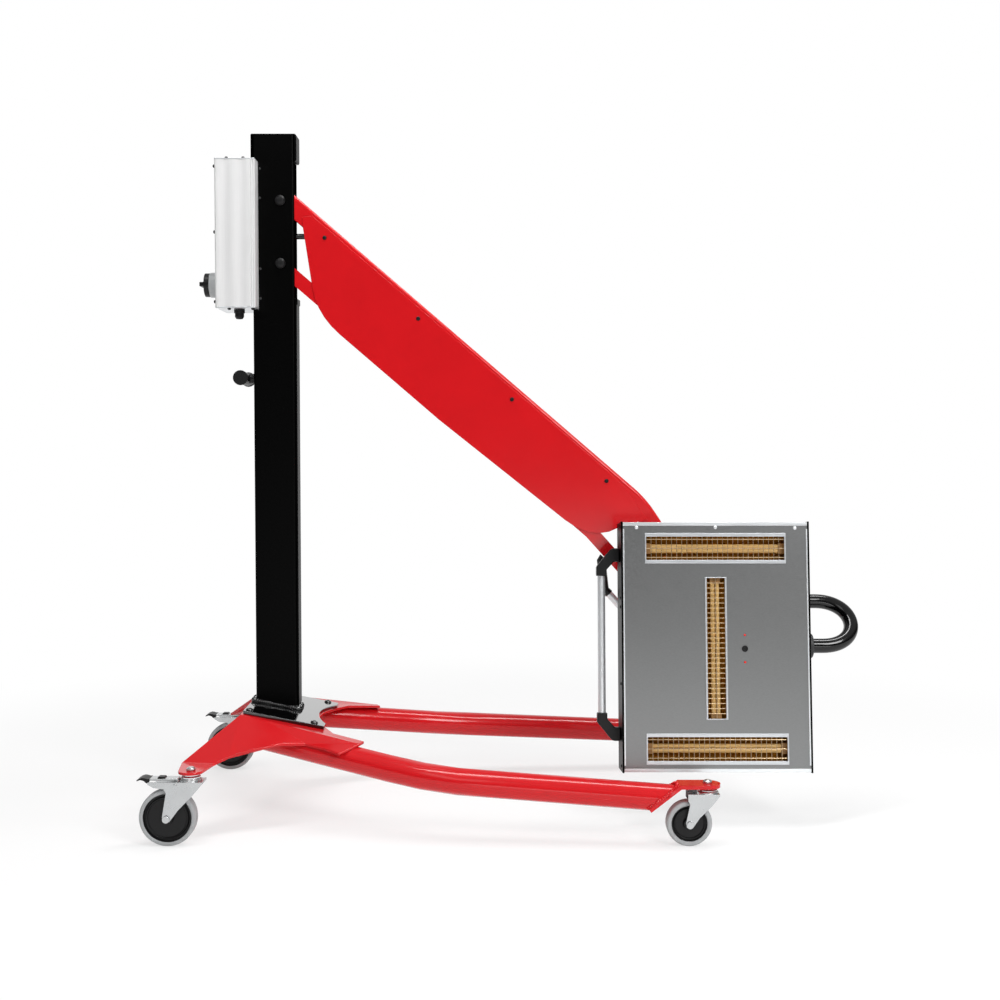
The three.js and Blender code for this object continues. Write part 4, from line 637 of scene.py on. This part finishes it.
dress("upper_arm", arm["edge"], wide=(arm["topRound"], isArmTop))
dressAll(arm["edges"])
for where, side in bothSides:
    spots = [(u, side * arm["panelFace"], arm["screwV"]) for u in arm["screwU"]]
    heads(f"arm_panel_screws_{where}", upperFrame, spots, arm["screw"], "y", side, "upper_arm")
dressAll(arm["springEdges"])

# Lamp cable: level out of the pillar, then up into the upper bar, with a rounded turn where it meets the bar
cable = {"radius": 6.75, "fromX": -114.7, "level": 1377, "joinU": 150.5, "runV": 21, "endU": 1084.7,
         "reach": 26, "bendFrom": 53, "bendTo": 120, "steps": 24}
cableRoute = [standFrame @ Vector((cable["fromX"], 0, cable["level"]))]
for i in range(1, cable["steps"] + 1):
    share = i / cable["steps"]
    x = cable["bendFrom"] + (cable["bendTo"] - cable["bendFrom"]) * share
    cableRoute.append(standFrame @ Vector((x, 0, cable["level"])))
armSpots = [upperFrame @ Vector((u, 0, cable["runV"])) for u in (cable["joinU"], cable["endU"])]
armRun = rounded([cableRoute[-1], *armSpots], cable["reach"] / 1000, 12)
bm = bmesh.new()
addSweep(bm, cableRoute + armRun[1:], cable["radius"] / 1000, 24)
lampCable = finishPiece("lamp_cable_sheath", bm, Matrix.Identity(4), None, "cable_sheath",
                        ["lamp_cable_pillar", "lamp_cable_arm"], angle=50)
tuple(cableRoute[1])
tuple(cableRoute[-1])
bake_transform(lampCable)

# Handle under the arm's end: two faceted elbows with a bright tube between them
grip = {"bendU": 985, "bendAngle": math.radians(7.3), "bottom": -19, "tube": 9, "elbow": 11, "sides": 8,
        "drop": 52, "rearU": 1050, "frontU": 1254, "run": 52, "insetShare": 1.5, "seat": 0.6, "inset": 6}


def underBar(u):
    return grip["bottom"] - (u - grip["bendU"]) * math.tan(grip["bendAngle"])


def gripPieces():
    s = grip
    elbow = s["elbow"]
    turns = {}
    for where, u, way in (("rear", s["rearU"], 1), ("front", s["frontU"], -1)):
        foot = (u, 0, underBar(u) - s["seat"] - elbow * math.sin(s["bendAngle"]))
        neck = (u, 0, underBar(u) - elbow)
        turnU = u + way * s["run"]
        corner = (turnU, 0, underBar(turnU) - s["drop"])
        stopU = turnU + way * elbow * s["insetShare"]
        stop = (stopU, 0, underBar(stopU) - s["drop"])
        turns[where] = stop
        bm = bmesh.new()
        addSweep(bm, [foot, neck, corner, stop], elbow, s["sides"])
        finishPiece(f"arm_handle_elbow_{where}", bm, lowerFrame, "lower_arm", "black_plastic",
                    ["arm_handle"], 0.8)
    bm = bmesh.new()
    start, end = Vector(turns["rear"]), Vector(turns["front"])
    run = (end - start).normalized() * s["inset"]
    addSweep(bm, [start - run, end + run], s["tube"], 32)
    finishPiece("arm_handle_tube", bm, lowerFrame, "lower_arm", "box_aluminium", ["arm_handle"],
                look="brightTrim")


gripPieces()
dressAll(arm["headEdges"])
print("stage: arm")

# Cassette: casing, sides, front with bright window frames, trims, rivets, sensor
cassette = {
    "innerHalf": 214.3, "frontHalfZ": 278.9, "frontY": (1, 3), "frameY": (-1.5, 3.2),
    "trimWidth": 3.2, "trimHalfZ": 272, "trimY": (-0.4, 1.2),
    "rivet": (4.4, 2), "rivetSpots": ((-182.5, 275), (1, 275.5), (186, 274)),
    "sideX": 218.6, "sideRivet": (4.5, 2.4), "sideRivetY": 22,
    "sideRivetLevels": (277.7, 111.8, 91, -86.4, -275.4),
    "lensX": 66, "lensZ": -5.3, "lensRadius": 7.3,
    "lensRing": ((0, 0.2), (3.2, 0.2), (3.8, -0.6), (6.6, -0.9), (7.2, 0.1), (7.2, 0.9), (0, 0.9)),
    "lightRadius": 2.9, "lightPitch": 31.3, "lightY": 1.2, "lightLens": (2.6, 1.6),
    "casing": {"cassette_casing": 0.5}, "sides": {"cassette_side_left": 0.9, "cassette_side_right": 0.9},
}
windows = {  # name: (lying, centre z, half length, half width, frame beyond the ends, frame beyond the sides)
    "top": (True, 226.7, 160.3, 27, 3.5, 8.5),
    "middle": (False, -4, 161.7, 20.8, 2.3, 4.6),
    "bottom": (True, -234.7, 160.3, 27, 3.5, 8.5),
}


def windowHalves(name, frameShare=0.0):
    lying, _, length, width, ends, sides = windows[name]
    halves = (length + ends * frameShare, width + sides * frameShare)
    return halves if lying else halves[::-1]


dressAll(cassette["casing"], "brightTrim")
dressAll(cassette["sides"])
windowHoles = [rectangle(*windowHalves(name, 0.5), (0, windows[name][1])) for name in windows]
lensPlace = (cassette["lensX"], cassette["lensZ"])
lightPlaces = [(lensPlace[0], lensPlace[1] + way * cassette["lightPitch"]) for way in (-1, 1)]
frontHoles = windowHoles + [circle(cassette["lensRadius"], lensPlace, 28)]
frontHoles += [circle(cassette["lightRadius"], spot, 16) for spot in lightPlaces]
bm = bmesh.new()
addPrism(bm, rectangle(cassette["innerHalf"], cassette["frontHalfZ"]), "y", *cassette["frontY"], frontHoles)
finishPiece("cassette_front_sheet", bm, headFrame, "cassette", "sheet_aluminium", ["cassette_front"], 0.3)
# Window frames: the trim aluminium with painted shade, darker than the trims
for name in windows:
    bm = bmesh.new()
    centre = (0, windows[name][1])
    addPrism(bm, rectangle(*windowHalves(name, 1.0), centre), "y", *cassette["frameY"],
             [rectangle(*windowHalves(name), centre)])
    finishPiece(f"window_frame_{name}", bm, headFrame, "cassette", "box_aluminium", bevel=1.1,
                look="shadedFrameTrim")
bm = bmesh.new()
trimHalf = cassette["trimWidth"] / 2
for side in (-1, 1):
    middle = side * (cassette["innerHalf"] - trimHalf)
    addPrism(bm, rectangle(trimHalf, cassette["trimHalfZ"], (middle, 0)), "y", *cassette["trimY"])
finishPiece("cassette_edge_trims", bm, headFrame, "cassette", "box_aluminium", bevel=0.4, look="brightTrim")
spots = [(x, cassette["frontY"][0], z) for x, z in cassette["rivetSpots"]]
heads("cassette_front_rivets", headFrame, spots, cassette["rivet"], "y", -1, "cassette", "box_aluminium",
      "brightTrim", rivetShares)
for where, side in (("left", -1), ("right", 1)):
    spots = [(side * cassette["sideX"], cassette["sideRivetY"], z) for z in cassette["sideRivetLevels"]]
    heads(f"cassette_side_rivets_{where}", headFrame, spots, cassette["sideRivet"], "x", side, "cassette",
          shares=rivetShares)
dress("distance_sensor", 0.4)
spots = [(x, cassette["lightY"], z) for x, z in lightPlaces]
heads("aiming_lights", headFrame, spots, cassette["lightLens"], "y", -1, "cassette", look="redLens",
      shares=rivetShares)
bm = bmesh.new()
addTurned(bm, cassette["lensRing"], "y", (lensPlace[0], 0, lensPlace[1]), 40)
finishPiece("sensor_lens_ring", bm, headFrame, "cassette", "black_plastic")
print("stage: cassette front")

# Behind each window: crossed wires, a twin quartz tube with ceramic ends, and the gold reflector
glow = {
    "wireRadius": 1.0, "wireY": 4.05, "pitch": 11.7, "overlap": 2.6, "longShares": (-0.78, 0, 0.78),
    "tubeRadius": 5.0, "tubeApart": 5.6, "tubeInCap": 2, "capHalf": (12.5, 8), "capLength": 14,
    "wallGap": 2.7, "topY": 5.1, "depthShare": 0.45, "capDeep": 8,
}


def wire(half, along):
    bm = bmesh.new()
    addTurned(bm, rod(glow["wireRadius"], half), along, sides=8)
    return bm


def windowInside(name):
    s = glow
    lying, z, length, width, _, _ = windows[name]
    count = round(2 * length / s["pitch"])
    steps = [(2 * i / count - 1) * length for i in range(1, count)]
    rails = [share * width for share in (s["longShares"] if lying else (0,))]
    across, along = ("z", "x") if lying else ("x", "z")
    spot = (lambda a, b: (a, s["wireY"], z + b)) if lying else (lambda a, b: (b, s["wireY"], z + a))
    # The wires carry a warm tint of painted gold reflection
    for kind, spots, item in (
        ("cross", [spot(a, 0) for a in steps], wire(width + s["overlap"], across)),
        ("long", [spot(0, b) for b in rails], wire(length + s["overlap"], along)),
    ):
        repeat(f"grille_{name}_{kind}_wires", headFrame, spots, item, "cassette", "zinc_steel",
               replaced=[f"grille_{name}"], look="goldReflectionWire")
    deep = s["topY"] + s["capDeep"] + (width - s["capDeep"]) * s["depthShare"]
    half = length + s["wallGap"]
    bm = bmesh.new()
    tubeEnd = half - s["capLength"] + s["tubeInCap"]
    for side in (-1, 1):
        shift = side * s["tubeApart"]
        centre = (0, deep, z + shift) if lying else (shift, deep, z)
        addTurned(bm, rod(s["tubeRadius"], tubeEnd), along, centre, 28)
    finishPiece(f"lamp_{name}_tubes", bm, headFrame, "cassette", "quartz", [f"lamp_{name}"], angle=40)
    # The ceramic ends carry painted gold light from the reflector
    bm = bmesh.new()
    wide, thick = s["capHalf"]
    capHalf = s["capLength"] / 2
    for way in (-1, 1):
        middle = way * (half - capHalf)
        if lying:
            outline = [(b, a) for a, b in rectangle(wide, thick, (z, deep))]
            addPrism(bm, outline, "x", middle - capHalf, middle + capHalf)
        else:
            addPrism(bm, rectangle(wide, thick, (0, deep)), "z", z + middle - capHalf, z + middle + capHalf)
    finishPiece(f"lamp_{name}_ends", bm, headFrame, "cassette", "grey_plastic", bevel=1.2, look="ceramic")


for name in windows:
    windowInside(name)
dress("reflector_tray")
print("stage: lamps and grilles")

# Side handle: a bright tube between two mitred elbows moulded round its ends
sideGrip = {"x": -261.5, "y": 52, "halfLength": 179.7, "radius": 9}
bm = bmesh.new()
ends = [(sideGrip["x"], sideGrip["y"], side * sideGrip["halfLength"]) for side in (-1, 1)]
addSweep(bm, ends, sideGrip["radius"], 40)
finishPiece("handle_tube_bright", bm, headFrame, "cassette", "box_aluminium", ["handle_tube"],
            look="brightTrim")
# In an elbow's outline u runs to the cassette and v away from the tube's middle
mitre = {
    "topStart": 163.7, "bottomStart": 155, "halfY": 13,
    "outline": ((-11.8, 0), (11.8, 0), (11.8, 14), (29.5, 33.5), (42.6, 33.5), (42.6, 65), (26, 65), (20, 61),
                (-11.8, 22)),
}
for end, side in (("top", 1), ("bottom", -1)):
    start, middle, half = mitre[end + "Start"], sideGrip["y"], mitre["halfY"]
    outline = [(sideGrip["x"] + u, side * (start + v)) for u, v in mitre["outline"]]
    bm = bmesh.new()
    addPrism(bm, outline, "y", middle - half, middle + half)
    finishPiece(f"mitred_elbow_{end}", bm, headFrame, "cassette", "black_plastic", [f"handle_elbow_{end}"],
                2.6)
# Flange round the hose where it leaves the right side
gland = {"wallX": 218.9, "y": 52,
         "profile": ((0, 0), (28.5, 0), (28.5, 11.5), (27, 13), (22, 14), (0, 14))}
bm = bmesh.new()
addTurned(bm, gland["profile"], "x", (gland["wallX"], gland["y"], 0), 64)
finishPiece("hose_gland_flange", bm, headFrame, "cassette", "black_plastic", ["hose_gland"], 0.8,
            look="charcoal")

# Hose of the lamp cables: round from the right side to the back
hoseRun = {"radius": 17, "startX": 233.2, "straight": 24, "bulge": 102, "y": 52, "highY": 127.3,
           "highZ": 105, "endX": 175.3, "steps": 48}


def hosePoints():
    s = hoseRun
    out = Vector((s["startX"] + s["straight"], s["y"], 0))
    back = Vector((out.x, s["highY"], s["highZ"]))
    reach = Vector((s["bulge"], 0, 0))
    points = [Vector((s["startX"], s["y"], 0))]
    for i in range(s["steps"] + 1):
        t = i / s["steps"]
        points.append(out * (1 - t) ** 3 + (out + reach) * 3 * t * (1 - t) ** 2
                      + (back + reach) * 3 * t * t * (1 - t) + back * t ** 3)
    points.append(Vector((s["endX"], s["highY"], s["highZ"])))
    return points


bm = bmesh.new()
addSweep(bm, hosePoints(), hoseRun["radius"], 40)
hose = finishPiece("cable_hose_round", bm, headFrame, "cassette", "cable_sheath", ["cable_hose"], angle=50)
hosePath = [headFrame @ point for point in hosePoints()]
hoseLength = sum((b - a).length for a, b in zip(hosePath, hosePath[1:]))
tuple(hosePath[0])
print("stage: cassette handle and hose")

# Casters: rubber tyre bonded on a turned hub, chrome swivel race, and a brake pedal on the rear pair
caster = {
    "rear": {"x": -135.5, "radius": 62.5, "trail": 50, "crown": 151, "under": 159, "tyre": 9, "sink": 7.5},
    "front": {"x": 996.5, "radius": 50, "trail": 41, "crown": 120, "under": 129, "tyre": 10.5, "sink": 3},
    "y": 350, "width": 30, "hubWidth": 36, "boss": 13, "bore": 5.3, "roundOver": 5,
    "raceRadius": 21.5, "sinkReach": 22, "crownTop": 3,
    # (share of the rim's radius, depth below the tyre's side)
    "hubFace": ((0.79, 5), (0.82, 3), (0.86, 2.4), (0.88, 4.4), (0.9, 6), (0.95, 6), (0.97, 1.8), (1, 1.6)),
    # (inset, thirds of the height, rise above them)
    "race": ((2, 0, 0), (0.6, 0, 0.8), (0.6, 1, -0.8), (2, 1, 0), (1, 1, 1), (0, 1, 2), (0, 2, -1),
             (1.4, 2, 0), (5, 2, 0.4), (4, 2, 1.4), (4, 3, -1), (5, 3, 0)),
}
pedal = {
    "pinBack": 30, "drop": 14, "pinRadius": 2.8, "pinRise": 0.9, "pinHalf": 25,
    "plateHalfY": 15, "plateX": (-60, 4), "plateZ": (8.4, 12.2), "tipHalfY": 17,
    "lockX": (-42, -24), "lockHalfY": 9, "lockZ": (12, 15.4), "lockSlant": 2,
    "tip": ((-86, 9), (-80, 13), (-73, 15), (-67, 14.2), (-62, 12.4), (-57, 12.6), (-57, 8), (-60, 4),
            (-63, 2.4), (-66, 4.4), (-70, 8), (-77, 10), (-85, 7.4)),
}


def wheelPieces(row, where, y):
    size = caster[row]
    body = f"wheel_{row}_{where}"
    centre = (size["x"] - size["trail"], y, size["radius"])
    half, rim, over = caster["width"] / 2, size["radius"] - size["tyre"], caster["roundOver"]
    side = [(rim - 0.2, half - 1.2), (rim + 1, half)]
    for i in range(7):
        turn = math.radians(15 * i)
        side.append((size["radius"] - over + over * math.sin(turn), half - over + over * math.cos(turn)))
    bm = bmesh.new()
    addTurned(bm, bothHalves(side), "y", centre, 80, closed=True)
    finishPiece(f"tyre_{row}_{where}", bm, standFrame, body, "tyre", [body], angle=50)
    boss, hub = caster["boss"], caster["hubWidth"] / 2
    face = [(caster["bore"], hub), (boss - 1, hub), (boss, hub - 1), (boss + 1.5, half - 4.5)]
    face += [(share * rim, half - depth) for share, depth in caster["hubFace"]]
    bm = bmesh.new()
    addTurned(bm, bothHalves(face), "y", centre, 80, closed=True)
    finishPiece(f"hub_{row}_{where}", bm, standFrame, body, "black_plastic")
    low = size["crown"] - size["sink"] + 0.2
    high, outer = size["under"] - 0.3, caster["raceRadius"]
    third = (high - low) / 3
    race = [(outer - inset, low + thirds * third + rise) for inset, thirds, rise in caster["race"]]
    bm = bmesh.new()
    addTurned(bm, [(0, low), *race, (0, high)], "z", (size["x"], y, 0), 64)
    finishPiece(f"swivel_race_{row}_{where}", bm, standFrame, f"caster_{row}_{where}", "zinc_steel",
                look="chrome")


def sunkCrown(row):
    # The fork's crown lies lower than the solid model's, which leaves the tall swivel race open to view
    crown = caster[row]["crown"] / 1000
    reach, sink = caster["sinkReach"] / 1000, caster[row]["sink"] / 1000

    def shape(point):
        share = min(1, max(0, (point.z - crown + reach) / reach))
        if point.z > crown + caster["crownTop"] / 1000:
            share = 0
        return Vector((point.x, point.y, point.z - sink * share))

    return shape


def pedalPieces(where, y):
    s = pedal
    body, replaced = f"brake_{where}", [f"brake_pedal_{where}"]
    size = caster["rear"]
    pinPlace = (size["x"] - s["pinBack"], y, size["crown"] - s["drop"])
    placing = standFrame @ Matrix.Translation(pinPlace)
    (x0, x1), (z0, z1), half = s["plateX"], s["plateZ"], s["plateHalfY"]
    bm = bmesh.new()
    addPrism(bm, [(x0, z0), (x1, z0), (x1, z1), (x0, z1)], "y", -half, half)
    addTurned(bm, rod(s["pinRadius"], s["pinHalf"]), "y", (0, 0, s["pinRise"]), 24)
    finishPiece(f"pedal_plate_{where}", bm, placing, body, "zinc_steel", replaced, 0.8)
    bm = bmesh.new()
    addPrism(bm, s["tip"], "y", -s["tipHalfY"], s["tipHalfY"])
    (x0, x1), (z0, z1), half = s["lockX"], s["lockZ"], s["lockHalfY"]
    slant = s["lockSlant"]
    addPrism(bm, [(x0, z0), (x1, z0), (x1 - slant, z1), (x0 + slant, z1)], "y", -half, half)
    finishPiece(f"pedal_tip_{where}", bm, placing, body, "black_plastic", replaced, 0.9)


for where, side in bothSides:
    for row in ("rear", "front"):
        wheelPieces(row, where, side * caster["y"])
        dress(f"fork_{row}_{where}", 0.8, shape=sunkCrown(row))
        dress(f"axle_{row}_{where}", 0.6)
    pedalPieces(where, side * caster["y"])
print("stage: casters")

# Camera at the photograph's angle, pale floor, soft studio light
view = {"lens": 49.21, "sensor": 36, "far": 50, "x": 541.5, "back": 3315.7, "height": 887, "pitch": 2.5}
cameraData = bpy.data.cameras.new("camera")
cameraData.lens = view["lens"]
cameraData.sensor_width = view["sensor"]
cameraData.clip_end = view["far"]
camera = newObject("camera", cameraData)
camera.location = standFrame @ Vector((view["x"], -view["back"], view["height"]))
camera.rotation_euler = (math.radians(90 - view["pitch"]), 0, 0)
bpy.context.scene.camera = camera

studio = {
    "floorHalf": 14, "floorDrop": 0.0005, "floorGlow": 0.65, "whiteFrom": 1.0, "whiteTo": 2.4,
    "dim": 0.05, "bright": 0.45, "dimBelow": 0.12, "brightAbove": 0.75,
    "backdropFrom": 0.4, "backdropTo": 0.9,
}
softLights = {  # name: (place, aim, width and depth, power)
    "key_light": ((2.4, -3.4, 3.2), (0.1, 0, 0.7), (1.6, 1.6), 112),
    "fill_light": ((-1.3, -3.4, 3.3), (-0.2, 0, 0.8), (1.6, 1.6), 12),
    "low_light": ((0.5, -3.2, 0.22), (0.3, 0, 0.35), (3.0, 0.36), 10),
    "top_light": ((0.2, -0.3, 3.6), (0, 0, 0.6), (3.4, 0.4), 75),
}
bm = bmesh.new()
bmesh.ops.create_grid(bm, x_segments=1, y_segments=1, size=studio["floorHalf"])
floorMesh = toMesh("floor", bm)
floorLook = {"Base Color": linear("fafafa"), "Roughness": 0.9}
floorMaterial, floorTree, floorShader = newMaterial("pale_studio_floor", floorLook)
white = addNode(floorTree, "ShaderNodeEmission", {"Color": (1, 1, 1, 1), "Strength": 1.0})
floorPlace = addNode(floorTree, "ShaderNodeTexCoord").outputs["Object"]
away = addNode(floorTree, "ShaderNodeVectorMath", {"operation": "LENGTH"}, {0: floorPlace})
fade = addNode(floorTree, "ShaderNodeMapRange", {
    "interpolation_type": "SMOOTHSTEP", "From Min": studio["whiteFrom"], "From Max": studio["whiteTo"],
    "To Min": studio["floorGlow"], "To Max": 1.0,
}, {"Value": away.outputs["Value"]})


def mirrorRays(tree):
    # Rays straight from the camera, and those that metal and glass send out
    path = addNode(tree, "ShaderNodeLightPath").outputs
    sentOut = addNode(tree, "ShaderNodeMath", {"operation": "MAXIMUM"},
                      {0: path["Is Glossy Ray"], 1: path["Is Transmission Ray"]})
    return path["Is Camera Ray"], sentOut


direct, mirrored = mirrorRays(floorTree)
seen = addNode(floorTree, "ShaderNodeMath", {"operation": "MAXIMUM"}, {0: direct, 1: mirrored})
shown = addNode(floorTree, "ShaderNodeMath", {"operation": "MULTIPLY"}, {0: fade, 1: seen})
floorMix = addNode(floorTree, "ShaderNodeMixShader", None, {"Fac": shown, 1: floorShader, 2: white})
floorTree.links.new(floorMix.outputs["Shader"], floorTree.nodes["Material Output"].inputs["Surface"])
floorMesh.materials.append(floorMaterial)
floor = newObject("floor", floorMesh)
floor.location.z = -studio["floorDrop"]
for name, (spot, aim, size, power) in softLights.items():
    data = bpy.data.lights.new(name, "AREA")
    data.shape = "RECTANGLE"
    data.size, data.size_y = size
    data.energy = power
    light = newObject(name, data)
    light.location = spot
    light.rotation_euler = (Vector(aim) - Vector(spot)).to_track_quat("-Z", "Y").to_euler()

# World: a soft room with a bright ceiling; the white backdrop is seen directly from all sides, and in
# metal and glass where it stands behind the lamp
world = bpy.data.worlds.new("world")
bpy.context.scene.world = world
world.use_nodes = True
sky = world.node_tree
sky.nodes.clear()
skyPlace = addNode(sky, "ShaderNodeTexCoord").outputs["Generated"]
toward = addNode(sky, "ShaderNodeSeparateXYZ", None, {"Vector": skyPlace})
upward = addNode(sky, "ShaderNodeMapRange", {
    "interpolation_type": "SMOOTHSTEP", "From Min": studio["dimBelow"], "From Max": studio["brightAbove"],
    "To Min": studio["dim"], "To Max": studio["bright"],
}, {"Value": toward.outputs["Z"]})
behind = addNode(sky, "ShaderNodeMapRange", {
    "interpolation_type": "SMOOTHSTEP", "From Min": studio["backdropFrom"], "From Max": studio["backdropTo"],
}, {"Value": toward.outputs["Y"]})
room = addNode(sky, "ShaderNodeBackground", {"Color": (1, 1, 1, 1)}, {"Strength": upward})
backdrop = addNode(sky, "ShaderNodeBackground", {"Color": (1, 1, 1, 1), "Strength": 1.0})
direct, mirrored = mirrorRays(sky)
reflected = addNode(sky, "ShaderNodeMath", {"operation": "MULTIPLY"}, {0: mirrored, 1: behind})
seen = addNode(sky, "ShaderNodeMath", {"operation": "MAXIMUM"}, {0: direct, 1: reflected})
mixSky = addNode(sky, "ShaderNodeMixShader", None, {"Fac": seen, 1: room, 2: backdrop})
addNode(sky, "ShaderNodeOutputWorld", None, {"Surface": mixSky})
bpy.context.scene.view_settings.view_transform = "Standard"
print("stage: camera and light")
